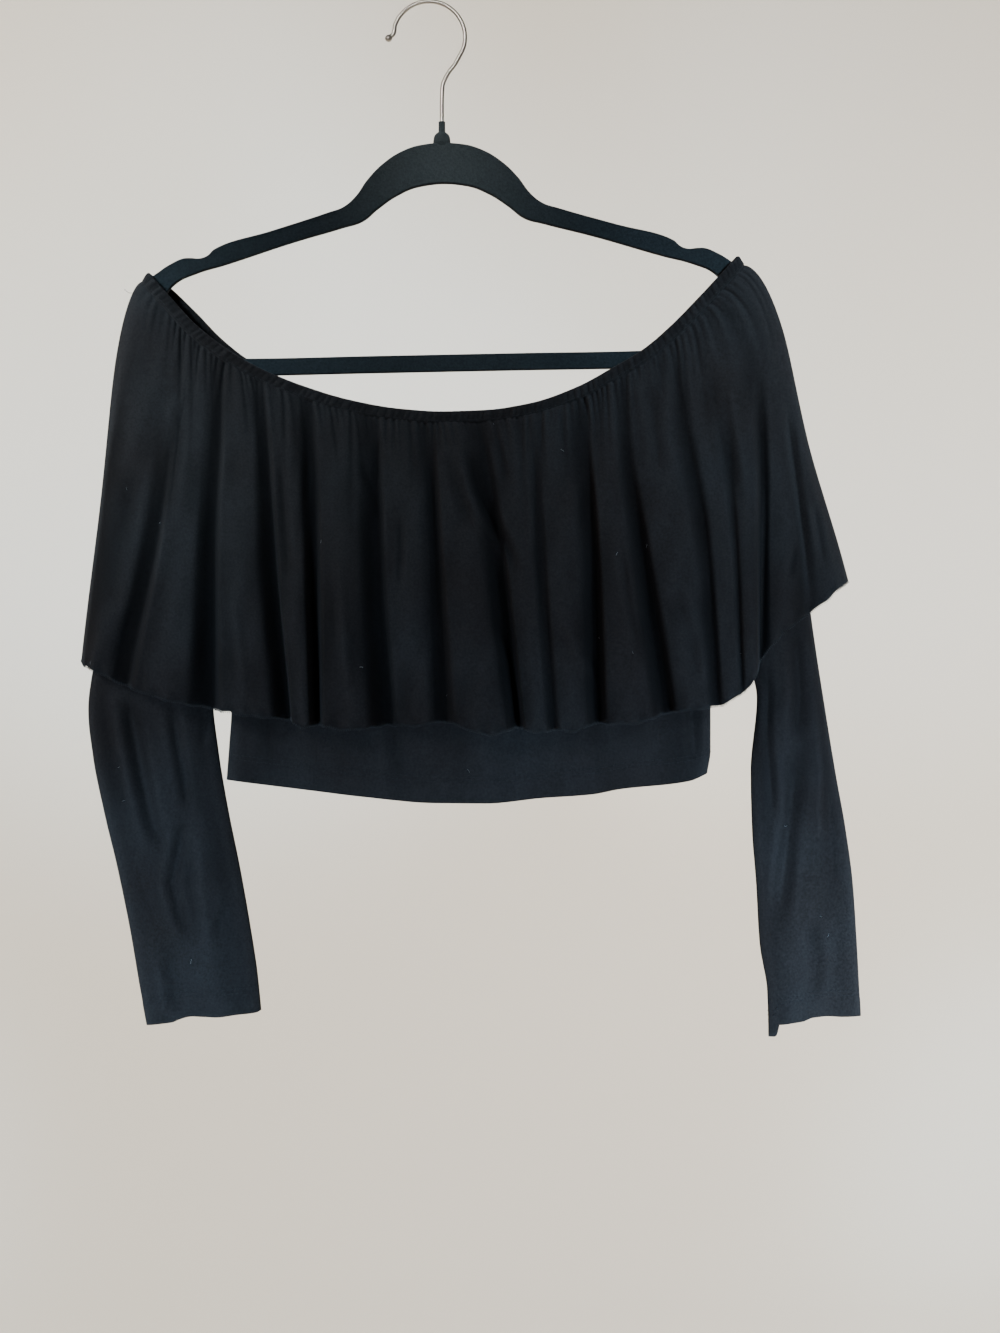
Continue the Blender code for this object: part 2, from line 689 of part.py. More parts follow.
def seam_room(depth):
    """Half the room at an armhole seam, which grows to a wall's where the two walls turn side by side."""
    turned = 1.0 - np.clip(depth / ARMHOLE_TURNS_BELOW, 0.0, 1.0)
    return SEAM_HALF_ROOM + (CLOTH / 2.0 + SEAM_HALF_ROOM) * turned


def room_below_underarm(below):
    """Half the room between the bodice's side and the sleeve, fading out below the underarm."""
    return seam_room(0.0) * np.clip(1.0 - below / UNDERARM_FADE, 0.0, 1.0) ** 2


def armhole_path(ring, neck_x, armhole, side):
    """The armhole's seam from under the casing to the underarm, as a function from 0 to 1."""
    start = ring.at(ring.place(neck_x, side), -LAYER_OFFSET, TOP_EDGE_DROP)
    return path_curve((EdgePoint(start[0], start[2]), *armhole))


def bodice_edge(armhole, underarm, seam, falls, inward):
    """A bodice panel's edge down the armhole and the side seam: x, depth and z at each fall."""
    side_path = path_curve(seam)
    top_z = armhole(0.0)[1]
    share = (top_z - underarm.z) / (top_z - seam[-1].z)
    edge = np.empty((len(falls), 3))
    for row, fall in enumerate(falls):
        if fall < share:
            x, z = armhole(fall / share)
            depth = max(float(armhole_depth(z, underarm.z)), SIDE_SEAM_OUT)
            room = seam_room(depth)
        else:
            x, z = side_path((fall - share) / (1.0 - share))
            depth = SIDE_SEAM_OUT
            room = room_below_underarm(underarm.z - z)
        edge[row] = (x + inward * room, depth, z)
    return edge


def columns_across(count):
    """Places from 0 to 1 for columns that lie closer together at both edges."""
    even = np.linspace(0.0, 1.0, count + 1)
    eased = (1.0 - np.cos(math.pi * even)) / 2.0
    return EVEN_SHARE * even + (1.0 - EVEN_SHARE) * eased


def make_bodice(name, ring, side, depth, creases, material, collection):
    """The front or the back of the bodice, from the casing to its hem."""
    across = columns_across(BODICE_COLUMNS)
    falls = np.linspace(0.0, 1.0, BODICE_ROWS + 1)
    left_armhole = armhole_path(ring, LEFT_ARMHOLE_NECK_X, LEFT_ARMHOLE, side)
    right_armhole = armhole_path(ring, RIGHT_ARMHOLE_NECK_X, RIGHT_ARMHOLE, side)
    left = bodice_edge(left_armhole, LEFT_ARMHOLE[-1], LEFT_SIDE, falls, 1.0)
    right = bodice_edge(right_armhole, RIGHT_ARMHOLE[-1], RIGHT_SIDE, falls, -1.0)
    start = ring.place(LEFT_ARMHOLE_NECK_X, side) - side * SEAM_HALF_ROOM
    end = ring.place(RIGHT_ARMHOLE_NECK_X, side) + side * SEAM_HALF_ROOM
    top = ring.at(start + (end - start) * across, -LAYER_OFFSET, TOP_EDGE_DROP)
    hem_x, hem_z = path_curve(BODICE_HEM)(across)
    belly = (1.0 - np.abs(2.0 * across - 1.0) ** BODICE_SIDE_POWER) ** 0.5

    points = np.empty((len(falls), len(across), 3))
    for row, fall in enumerate(falls):
        for axis, hem in ((0, hem_x), (2, hem_z)):
            left_bow = left[row, axis] - left[0, axis] - (left[-1, axis] - left[0, axis]) * fall
            right_bow = right[row, axis] - right[0, axis] - (right[-1, axis] - right[0, axis]) * fall
            bow = left_bow * (1.0 - across) + right_bow * across
            points[row, :, axis] = top[:, axis] + (hem - top[:, axis]) * fall + bow
        edge_depth = left[row, 1] + (right[row, 1] - left[row, 1]) * across
        panel_depth = edge_depth + (depth - edge_depth) * belly
        to_top = (1.0 - fall) ** TOP_BLEND_POWER
        points[row, :, 1] = side * (panel_depth + (side * top[:, 1] - panel_depth) * to_top)
    press_creases(points, creases)
    rows, columns = points.shape[:2]
    faces = grid_faces(rows, columns, side == BACK)
    obj = add_mesh_object(name, points.reshape(-1, 3), faces, material, collection)
    thicken(obj)
    return obj


class Sleeve:
    """A plain long sleeve: a cap that is open towards the bodice, and a flattened tube below it."""

    def __init__(self, ring, neck_x, armhole, outer_fold, sections, cuff_droop, outward):
        self.ring = ring
        self.neck_x = neck_x
        self.armhole = armhole
        self.outer_fold = outer_fold
        self.sections = sections
        self.cuff_droop = cuff_droop
        self.outward = outward
        self.across = columns_across(SLEEVE_COLUMNS)
        self.round_end = (1.0 - self.across**SLEEVE_FOLD_POWER) ** 0.5

    def tip_length(self, side):
        """Where the sleeve's outer fold meets the casing, as a length along the ring."""
        if self.outward > 0.0:
            return self.ring.lengths[self.ring.tip_index]
        return 0.0 if side == FRONT else self.ring.lengths[-1]

    def cap_rows(self, side):
        """The points of one side of the cap, from the casing down to the underarm."""
        first = self.sections[0]
        seam = armhole_path(self.ring, self.neck_x, self.armhole, side)
        tip = self.tip_length(side)
        start = self.ring.place(self.neck_x, side)
        start += SEAM_HALF_ROOM * np.sign(tip - start)
        top = self.ring.at(start + (tip - start) * self.across, -LAYER_OFFSET, TOP_EDGE_DROP)
        fold = path_curve((EdgePoint(top[-1, 0], top[-1, 2]), *self.outer_fold))
        inner_x = first.inner_x + self.outward * seam_room(0.0)
        base = {
            0: inner_x + (first.outer_x - inner_x) * self.across,
            2: first.inner_z + (first.outer_z - first.inner_z) * self.across,
        }
        rows = []
        for fall in 1.0 - np.linspace(1.0, 0.0, CAP_ROWS + 1) ** CAP_ROW_SPACING:
            seam_x, seam_z = seam(fall)
            seam_depth = max(float(armhole_depth(seam_z, self.armhole[-1].z)), SIDE_SEAM_OUT)
            edge = {0: seam_x + self.outward * seam_room(seam_depth), 2: seam_z}
            outer = dict(zip((0, 2), fold(fall)))
            row = np.empty((len(self.across), 3))
            for axis in (0, 2):
                low = base[axis]
                high = top[:, axis]
                inner_bow = edge[axis] - (high[0] + (low[0] - high[0]) * fall)
                outer_bow = outer[axis] - (high[-1] + (low[-1] - high[-1]) * fall)
                row[:, axis] = high + (low - high) * fall
                row[:, axis] += inner_bow * (1.0 - self.across) + outer_bow * self.across
            depth = ARMHOLE_DEPTH + (first.depth - ARMHOLE_DEPTH) * fall
            wall = depth * self.round_end + (seam_depth - depth) * (1.0 - self.across) ** CLOSING_POWER
            wall += (side * top[:, 1] - wall) * (1.0 - fall) ** TOP_BLEND_POWER
            row[:, 1] = side * wall
            row[-1, 1] = 0.0
            rows.append(row)
        return rows

    def tube_rows(self, side):
        """The points of one side of the tube, from just below the cap down to the cuff."""
        place = np.linspace(0.0, 1.0, len(self.sections))
        curves = [smooth_curve(place, values) for values in zip(*self.sections)]
        underarm_z = self.sections[0].inner_z
        rows = []
        for t in np.linspace(TUBE_START, 1.0, TUBE_ROWS + 1):
            inner_x, inner_z, outer_x, outer_z, depth = (curve(t) for curve in curves)
            below = underarm_z - inner_z
            inner_x = inner_x + self.outward * room_below_underarm(below)
            power = CLOSING_POWER + (FOLD_POWER - CLOSING_POWER) * min(below / UNDERARM_FADE, 1.0)
            wall = depth * (self.round_end - (1.0 - self.across) ** power)
            row = np.empty((len(self.across), 3))
            row[:, 0] = inner_x + (outer_x - inner_x) * self.across
            row[:, 1] = side * wall
            row[:, 2] = inner_z + (outer_z - inner_z) * self.across
            rows.append(row)
        rows[-1][:, 2] -= self.cuff_droop * (1.0 - self.across) ** CUFF_DROOP_POWER
        return rows

    def make_wall(self, name, rows_of, joined, creases, material, collection):
        """Makes the wall through the rows of both sides, joined or left open along its inner edge."""
        points = []
        index = []
        for near, far in zip(rows_of(FRONT), rows_of(BACK)):
            around = np.concatenate([near, far[-2::-1]])
            press_creases(around, creases)
            first = len(points)
            numbers = list(range(first, first + len(around)))
            if joined:
                around[0, 1] = 0.0
                around = around[:-1]
                numbers[-1] = first
            points.extend(around)
            index.append(numbers)
        faces = []
        for upper, lower in zip(index[:-1], index[1:]):
            for c in range(len(upper) - 1):
                quad = (upper[c], upper[c + 1], lower[c + 1], lower[c])
                faces.append(quad if self.outward < 0.0 else quad[::-1])
        obj = add_mesh_object(name, points, faces, material, collection)
        thicken(obj)

    def build(self, name, creases, material, collection):
        """Makes the cap, open at the armhole, and under the flounce the tube that hangs from it."""
        self.make_wall(f"{name}_cap", self.cap_rows, False, (), material, collection)
        self.make_wall(name, self.tube_rows, True, creases, material, collection)


def add_outline(curve, half_outline):
    """Adds a closed smooth outline, mirrored from its right half, to a flat curve."""
    right = [(p.out, p.z) for p in half_outline]
    left = [(-out, z) for out, z in reversed(right)]
    spline = curve.splines.new("BEZIER")
    spline.bezier_points.add(len(right) + len(left) - 1)
    for point, (x, z) in zip(spline.bezier_points, right + left):
        point.co = (x * MM, z * MM, 0.0)
        point.handle_left_type = "AUTO"
        point.handle_right_type = "AUTO"
    spline.use_cyclic_u = True


def make_hanger(material, collection):
    """The hanger: one flat moulded piece with its arch, notched arms, rounded ends and bar."""
    curve = bpy.data.curves.new("hanger_body", "CURVE")
    curve.dimensions = "2D"
    curve.fill_mode = "BOTH"
    curve.resolution_u = HANGER_SMOOTHNESS
    curve.render_resolution_u = HANGER_SMOOTHNESS
    curve.extrude = (HANGER_THICKNESS / 2.0 - HANGER_EDGE) * MM
    curve.bevel_depth = HANGER_EDGE * MM
    curve.bevel_resolution = 0
    curve.offset = -HANGER_EDGE * MM
    add_outline(curve, HANGER_OUTSIDE)
    add_outline(curve, HANGER_INSIDE)
    curve.materials.append(material)
    hanger = bpy.data.objects.new("hanger_body", curve)
    hanger.location = (HANGER_BASE_X * MM, 0.0, HANGER_BASE_Z * MM)
    hanger.rotation_euler = (math.pi / 2.0, -HANGER_TILT, 0.0)
    collection.objects.link(hanger)
    return hanger


def make_collar(material, collection):
    """The turned collar that holds the wire on top of the arch."""
    bore = COLLAR_BORE / 2.0
    outside = list(COLLAR_PROFILE)
    profile = outside + [(bore, outside[-1][1]), (bore, outside[0][1])]
    points = [(radius * MM, 0.0, height * MM) for radius, height in profile]
    edges = [(i, (i + 1) % len(points)) for i in range(len(points))]
    mesh = bpy.data.meshes.new("hanger_collar")
    mesh.from_pydata(points, edges, [])
    mesh.materials.append(material)
    collar = bpy.data.objects.new("hanger_collar", mesh)
    collar.location = (HANGER_BASE_X * MM, 0.0, HANGER_BASE_Z * MM)
    turn = collar.modifiers.new("Turn", "SCREW")
    turn.axis = "Z"
    turn.steps = COLLAR_STEPS
    turn.render_steps = COLLAR_STEPS
    turn.merge_threshold = 0.0001
    turn.use_smooth_shade = True
    collection.objects.link(collar)
    return collar


def hook_route():
    """The wire's points from its ball tip over the bend and down the stem, with a radius at each."""
    wire = HOOK_WIRE / 2.0
    ball = HOOK_BALL / 2.0
    lip = HOOK_LIP[0]
    toward_lip = np.array([lip.x - HOOK_BALL_X, lip.z - HOOK_BALL_Z])
    toward_lip /= np.linalg.norm(toward_lip)
    route = []
    for turn in np.radians(HOOK_BALL_TURNS):
        x, z = np.array([HOOK_BALL_X, HOOK_BALL_Z]) + toward_lip * ball * math.cos(turn)
        route.append((x, z, ball * math.sin(turn)))
    for point in HOOK_LIP:
        route.append((point.x, point.z, wire))
    for angle in np.linspace(HOOK_OPENS_AT, HOOK_STRAIGHTENS_AT, HOOK_BEND_POINTS):
        x = HOOK_RADIUS * math.cos(angle)
        z = HOOK_CENTRE_Z + HOOK_RADIUS * math.sin(angle)
        route.append((x, z, wire))
    stem = path_curve((EdgePoint(route[-1][0], route[-1][1]), *HOOK_STEM))
    for t in np.linspace(0.0, 1.0, HOOK_STEM_POINTS)[1:]:
        x, z = stem(t)
        route.append((float(x), float(z), wire))
    return route


def make_hook(material, collection):
    """The chrome wire hook with its ball tip, seated in the collar."""
    route = hook_route()
    curve = bpy.data.curves.new("hanger_hook", "CURVE")
    curve.dimensions = "3D"
    curve.bevel_depth = HOOK_WIRE / 2.0 * MM
    curve.bevel_resolution = HOOK_SMOOTHNESS
    curve.use_fill_caps = True
    spline = curve.splines.new("POLY")
    spline.points.add(len(route) - 1)
    for point, (x, z, radius) in zip(spline.points, route):
        point.co = (x * MM, 0.0, z * MM, 1.0)
        point.radius = radius / (HOOK_WIRE / 2.0)
    curve.materials.append(material)
    hook = bpy.data.objects.new("hanger_hook", curve)
    collection.objects.link(hook)
    return hook


def main():
    """Builds the top and its hanger."""
    clear_scene()
    collection = bpy.data.collections.new("off_shoulder_top")
    bpy.context.scene.collection.children.link(collection)
    jersey = principled("black_jersey", CLOTH_COLOUR, 0.9)
    flock = principled("black_flock", FLOCK_COLOUR, 0.95)
    steel = principled("polished_steel", STEEL_COLOUR, 0.25, 1.0)

    ring = NeckRing()
    make_casing(ring, jersey, collection)
    make_flounce("flounce_front", ring, FRONT_FOLDS, FRONT, FRONT_COLUMN_SPREAD, jersey, collection)
    make_flounce("flounce_back", ring, BACK_FOLDS, BACK, BACK_COLUMN_SPREAD, jersey, collection)
    make_bodice("bodice_front", ring, FRONT, BODICE_FRONT_DEPTH, FRONT_BODICE_CREASES, jersey, collection)
    make_bodice("bodice_back", ring, BACK, BODICE_BACK_DEPTH, BACK_BODICE_CREASES, jersey, collection)
    left = Sleeve(ring, LEFT_ARMHOLE_NECK_X, LEFT_ARMHOLE, LEFT_OUTER_FOLD, LEFT_SECTIONS, LEFT_CUFF_DROOP, -1.0)
    right = Sleeve(
        ring, RIGHT_ARMHOLE_NECK_X, RIGHT_ARMHOLE, RIGHT_OUTER_FOLD, RIGHT_SECTIONS, RIGHT_CUFF_DROOP, 1.0
    )
    left.build("sleeve_left", LEFT_CREASES, jersey, collection)
    right.build("sleeve_right", RIGHT_CREASES, jersey, collection)
    make_hanger(flock, collection)
    make_collar(flock, collection)
    make_hook(steel, collection)


main()
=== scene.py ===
"""A black jersey off-shoulder top on a slim flocked hanger, dressed for its picture.

Each piece of cloth is a thin shell on the form of its solid, with finer gathers, rounder folds and creases
placed one by one. Hems and seams carry real thread. The hanger is a flocked moulding with a satin wire hook.
Sizes are in millimetres until a mesh or a curve is made; the front faces -Y.
"""

import logging
import math
from dataclasses import dataclass
from enum import Enum
from typing import Callable, NamedTuple, Sequence

import bpy
import numpy as np
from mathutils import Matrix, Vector


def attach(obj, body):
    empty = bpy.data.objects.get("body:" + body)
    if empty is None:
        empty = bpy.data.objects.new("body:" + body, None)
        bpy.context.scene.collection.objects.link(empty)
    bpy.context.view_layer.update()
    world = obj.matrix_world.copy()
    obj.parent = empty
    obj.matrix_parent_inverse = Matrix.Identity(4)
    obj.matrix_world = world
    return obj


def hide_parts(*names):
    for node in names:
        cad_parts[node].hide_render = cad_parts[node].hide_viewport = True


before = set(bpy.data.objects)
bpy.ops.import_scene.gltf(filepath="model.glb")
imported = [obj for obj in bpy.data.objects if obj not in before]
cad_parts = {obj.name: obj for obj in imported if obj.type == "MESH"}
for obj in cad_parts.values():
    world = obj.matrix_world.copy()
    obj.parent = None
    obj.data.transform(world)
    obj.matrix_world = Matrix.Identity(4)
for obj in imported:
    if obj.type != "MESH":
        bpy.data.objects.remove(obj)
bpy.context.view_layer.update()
MM = 0.001
TURN = 2.0 * math.pi
ROOT = "root"
LOG = logging.getLogger("off_shoulder_top")

# Cloth as it really is, thinner than the solids' walls
JERSEY = 0.7

# How a fold rolls off on its slow side and turns in on its steep side
ROLL_SHARE = 0.56
STEEP_SHARE = 0.27
STEEP_START = 0.09
FLAT_SHARE = 0.85
MOST_OUT = 37.5
WING_FROM = (-232.0, -215.0, 245.0, 262.0)
WING_NEAREST = 6.6

# How far cloth looks for the crest beside it, and how deep it lies where it gets painted fold shade
FOLD_SHADE_REACH = 9
FOLD_SHADE_DEPTH = 3.4
FOLD_SHADE_EDGE = 3.0

SEAM_GAP = 0.02
CASING_HEIGHT = 9.0
CASING_HALF = 1.3
LAYER_OFFSET = 0.42
TOP_EDGE_DROP = CASING_HEIGHT - 1.6
SIDE_SEAM_OUT = JERSEY / 2.0 + SEAM_GAP

# The ring that the casing makes round the neck
NECK_DEPTH = 12.0
NECK_SIDE_POWER = 8.0
NECK_END_POWER = 3.0
NECK_SAMPLES = 4000
TIP_EASING = 0.35
TIP_POWER = 12.0

# The heights of the fold table's columns, and how the flounce flares between them
FLOUNCE_LEVELS = (0.0, 0.2, 0.55, 1.0)
FLARE_POWER = 0.5
TOP_BLEND_POWER = 6

# How the bodice and the sleeves close at their edges and round the armholes
BODICE_SIDE_POWER = 7.0
SLEEVE_FOLD_POWER = 6.0
ARMHOLE_DEPTH = 10.6
ARMHOLE_CLOSES_OVER = 46.0
ARMHOLE_TURNS_BELOW = 6.0
UNDERARM_FADE = 60.0
CLOSING_POWER = 2.5
FOLD_POWER = 9.0
CUFF_TONGUE = 6.8
TONGUE_POWER = 9

# Turned hems and their twin rows of stitches
HEM_DEPTH = 19.0
HEM_PROUD = 0.25
HEM_LOSS = 0.22
HEM_SINK_WIDTH = 2.6
TWIN_NEEDLE = 3.2
STITCH = 2.6
STITCH_GAP = 0.5

# A crease's taper towards its ends, its section and the slight lip beside it
CREASE_TAPER = 0.3
CREASE_POINT = 1.25
CREASE_LIP = 0.2
CREASE_LIP_AT = 1.9
CREASE_FADES_AT = 3.0
SLEEVE_CREASE_GAIN = 1.3


class Side(Enum):
    """The face of the flat-hanging top that a piece is on, with its sign along Y."""

    FRONT = -1.0
    BACK = 1.0


class EdgePoint(NamedTuple):
    """A point of an outline, seen from the front."""

    x: float
    z: float


class Fold(NamedTuple):
    """A ridge or a trough of the flounce, from the casing down to the hem.

    The x columns say where it lies at the neckline, a fifth of the way down, halfway down and at the hem.
    The out columns say how far it stands from the hanger's middle plane.
    """

    neck_x: float
    upper_x: float
    lower_x: float
    hem_x: float
    hem_z: float
    upper_out: float
    lower_out: float
    hem_out: float


class SleeveSection(NamedTuple):
    """A section across a sleeve, from its inner fold to its outer fold, with half its depth."""

    inner_x: float
    inner_z: float
    outer_x: float
    outer_z: float
    depth: float


class HangerPoint(NamedTuple):
    """A point of the hanger's outline, from its middle line out and from its top down."""

    out: float
    z: float


class Crease(NamedTuple):
    """A crease along a short path on one side, pressed in, or raised where press is negative."""

    side: Side
    press: float
    reach: float
    path: tuple[EdgePoint, ...]


def table(kind: type, *rows: tuple[float, ...]) -> tuple:
    """Names the values of each row of a table."""
    return tuple(kind(*map(float, row)) for row in rows)


def creases(side: Side, *marks: tuple) -> tuple[Crease, ...]:
    """Names creases on one side, each by its press, its reach and the places that it runs through."""
    return tuple(Crease(side, press, reach, table(EdgePoint, *path)) for press, reach, *path in marks)


NECK_FRONT = table(
    EdgePoint, (-204.5, -198), (-199, -204.5), (-189.8, -214.8), (-170, -236.5), (-148.8, -253.5),
    (-121.7, -269.5), (-92.4, -281.5), (-57.9, -292), (-21.3, -298.5), (8, -300.5), (41, -299.5),
    (74, -294.5), (107.8, -282.8), (132.7, -269.4), (156.9, -254.7), (178, -236.5), (201.6, -212),
    (214, -198.5), (225, -186),
)

# How far the back neckline lies above the front one
NECK_BACK_RISE = table(
    EdgePoint, (-204.5, 0), (-199, 3), (-189, 7), (-172, 9.5), (-156, 6.5), (-135, 3.5), (-113, 2.5),
    (8, 1.5), (178, 2), (214, 1), (225, 0),
)

FRONT_FOLDS = table(
    Fold,
    (-204.5, -229, -239.5, -254.5, -481.5, 0.5, 0.5, 0.5),
    (-203.6, -227, -238, -252, -483.5, 6, 7, 8),
    (-192, -208, -219, -241, -489, 13, 18, 20),
    (-178, -186, -197, -222, -498, 13.5, 17, 17),
    (-165, -171, -177, -188, -509.5, 15, 23, 28),
    (-147, -153, -157, -158, -515.5, 14, 17, 17),
    (-135, -134, -134, -127, -521, 17, 25, 31),
    (-121, -118, -112, -101, -523.5, 15.5, 17.5, 18),
    (-106, -101, -96, -88.5, -530, 18, 26, 33),
    (-88, -85.5, -83, -80.5, -527.5, 15.5, 17.5, 19),
    (-68, -65, -62, -58, -531, 18, 27, 35),
    (-42, -39, -36, -28, -528, 15.5, 17.5, 19),
    (-22, -19.5, -14.5, -7, -528, 17.5, 24, 29),
    (-1, 2, 6, 10, -525, 16, 20.5, 24),
    (13, 20, 29, 44.5, -534.5, 18, 27, 35),
    (31, 42, 53, 65, -529.5, 15.5, 17.5, 20),
    (60, 66, 71, 79, -533, 17.5, 26, 34),
    (76, 79, 83, 90, -531, 17, 23, 29),
    (89, 92, 97, 105, -532, 17.5, 25.5, 33),
    (106, 114, 119.5, 122, -526.5, 15, 17.5, 20),
    (121, 129, 136, 146, -526.5, 16.5, 25, 32),
    (136, 142.5, 155, 173, -519, 14.5, 17, 18),
    (154, 164, 178, 193, -516, 15.5, 23, 29),
    (170, 184, 200, 209, -514, 13.5, 18, 23),
    (179, 196, 212, 220, -509, 14.5, 20.5, 28),
    (187, 207, 221, 226.5, -504.5, 13.5, 18, 24),
    (196, 222, 230, 233, -498.5, 14, 20, 27),
    (204, 238, 243, 241.5, -481, 12, 11, 11),
    (212, 247, 255, 259, -460.5, 11, 13, 15.5),
    (218.5, 253.5, 267, 277.5, -446.5, 9, 9.5, 10),
    (222.5, 257, 272.5, 291, -436.5, 6.5, 8.5, 11),
    (224.4, 258.3, 276, 303.5, -425.5, 3.6, 4.2, 5),
    (225, 258.5, 277, 307, -423.5, 0.5, 0.5, 0.5),
)

BACK_FOLDS = table(
    Fold,
    (-204.5, -229, -239.5, -254.5, -481.5, 0.5, 0.5, 0.5),
    (-203.6, -227, -238, -252, -484, 6, 7, 7),
    (-190, -207, -219, -233, -495, 13, 16, 18),
    (-166, -173, -181, -196, -506, 13, 14.5, 14.5),
    (-143, -145, -150, -160, -514, 15, 19, 23),
    (-119, -120, -121, -127, -520, 14, 15, 15),
    (-96, -93, -91, -88, -526, 15.5, 20, 25),
    (-70, -66, -60, -56, -525, 14, 15, 15.5),
    (-43, -38, -31, -22, -530, 15.5, 20.5, 26),
    (-14, -10, -4, 6, -526, 14, 15, 16),
    (16, 22, 30, 38, -531, 15.5, 20.5, 25),
    (44, 50, 59, 70, -526, 14, 15, 15.5),
    (76, 82, 90, 104, -528, 15, 20, 25),
    (105, 114, 123, 134, -522, 13.5, 15, 15),
    (134, 146, 158, 171, -517, 14, 18.5, 23),
    (160, 176, 190, 203, -506, 12.5, 14, 14.5),
    (182, 206, 220, 231, -487, 14, 16, 18),
    (200, 230, 243, 256, -463, 13.5, 13, 12.5),
    (215, 249, 263, 280, -446, 10, 11.5, 13),
    (224.2, 258, 275.5, 302, -427, 3.6, 5, 6),
    (225, 258.5, 277, 307, -423.5, 0.5, 0.5, 0.5),
)

FRONT_FLOUNCE_CREASES = creases(
    Side.FRONT,
    (2.3, 3.2, (-51, -334), (-38, -362), (-34, -386)),
    (2, 2.8, (-35, -316), (-38, -362)),
    (1.7, 2.2, (-20, -374), (-19, -404), (-21, -434)),
    (2, 2.6, (0, -318), (4, -366), (6, -412), (9, -462)),
    (3.2, 3.4, (24, -316), (36, -360), (54, -392), (68, -426)),
    (-2, 4, (20, -322), (31, -366), (48, -400), (61, -432)),
    (2.6, 3, (45, -446), (59, -482), (65, -528)),
    (1.7, 2.6, (50, -318), (58, -356)),
    (1.9, 2.4, (77, -306), (78, -402), (84, -474)),
    (-1.4, 4, (98, -452), (108, -478), (126, -506)),
    (1.6, 3, (105, -470), (118, -484), (124, -506)),
    (1.9, 4, (161, -275), (169, -352)),
    (1.7, 3.4, (176, -262), (189, -318)),
    (2.6, 3.6, (194, -245), (212, -288), (220, -339), (225, -378)),
    (3.2, 3, (259, -285), (270, -368), (279, -446)),
    (2.4, 2.6, (280, -362), (289, -418)),
    (2, 2.6, (268, -396), (262, -424)),
    (2.3, 7, (-214, -440), (-228, -490)),
    (-1.7, 8, (-200, -330), (-214, -420), (-230, -486)),
    (1.3, 4, (-176, -262), (-182, -330), (-190, -400)),
    (1.4, 3, (-108, -318), (-104, -372), (-99, -430)),
    (1.3, 2.6, (-88, -330), (-90, -396)),
    (-1.2, 3.2, (-64, -404), (-60, -462), (-55, -520)),
    (1.2, 3, (138, -392), (146, -446), (158, -500)),
    (-1.3, 3.6, (183, -420), (196, -470), (200, -506)),
    (1.2, 2.4, (112, -352), (110, -392)),
    (-1, 3, (-140, -430), (-134, -480), (-131, -514)),
)

BACK_FLOUNCE_CREASES = creases(
    Side.BACK,
    (2, 3.4, (-134, -300), (-140, -352), (-149, -398)),
    (1.7, 2.8, (-60, -322), (-52, -372), (-46, -408)),
    (2.3, 3.2, (-20, -420), (-10, -466), (-4, -516)),
    (-1.4, 4, (24, -330), (29, -392), (35, -448)),
    (1.9, 2.8, (52, -318), (66, -366), (70, -412)),
    (1.6, 2.4, (98, -408), (104, -462), (116, -508)),
    (2, 4, (142, -286), (160, -340), (170, -402)),
    (1.7, 3.2, (212, -290), (222, -352), (236, -410)),
    (-1.4, 6, (-214, -370), (-224, -436), (-234, -486)),
    (1.4, 2.6, (-96, -440), (-92, -486), (-86, -520)),
)

# Where each armhole's seam leaves the casing
LEFT_ARMHOLE_NECK_X = -127.5
RIGHT_ARMHOLE_NECK_X = 162.0
LEFT_ARMHOLE = table(
    EdgePoint, (-134.5, -305), (-141, -349), (-148, -393), (-151.5, -425),
)
RIGHT_ARMHOLE = table(
    EdgePoint, (172, -298), (181, -342), (194, -386), (205.5, -424),
)
LEFT_SIDE = table(
    EdgePoint, (-151.5, -425), (-147, -455), (-144.5, -518), (-146, -542), (-148, -568.8),
)
RIGHT_SIDE = table(
    EdgePoint, (205.5, -424), (204.5, -455), (206, -517), (206, -547), (203.5, -564),
)
BODICE_HEM = table(
    EdgePoint, (-148, -568.8), (-97, -574.7), (-46.2, -580.9), (4.4, -585.3), (42.5, -585.6),
    (80.6, -581.8), (118.7, -579), (139.3, -575.2), (189.8, -569.5), (203.5, -564),
)
FRONT_BODICE_CREASES = creases(
    Side.FRONT,
    (2.2, 3.4, (190, -500), (192.5, -530), (193, -560)),
    (-0.9, 3.4, (198, -512), (199, -556)),
    (1.2, 6, (-40, -380), (-44, -430), (-48, -474)),
    (1.2, 6, (60, -370), (66, -430), (72, -484)),
    (0.8, 5.1, (-20, -520), (-24, -548), (-22, -578)),
    (0.7, 6, (118, -512), (124, -546), (121, -574)),
    (0.7, 5.1, (-118, -516), (-112, -566)),
)
BACK_BODICE_CREASES = creases(
    Side.BACK,
    (1.2, 6, (-60, -400), (-64, -450), (-66, -504)),
    (1.2, 6, (90, -390), (94, -450), (96, -522)),
    (0.8, 5.1, (20, -530), (16, -578)),
    (0.9, 5.1, (-130, -500), (-124, -562)),
    (1.1, 4.2, (176, -496), (184, -556)),
)

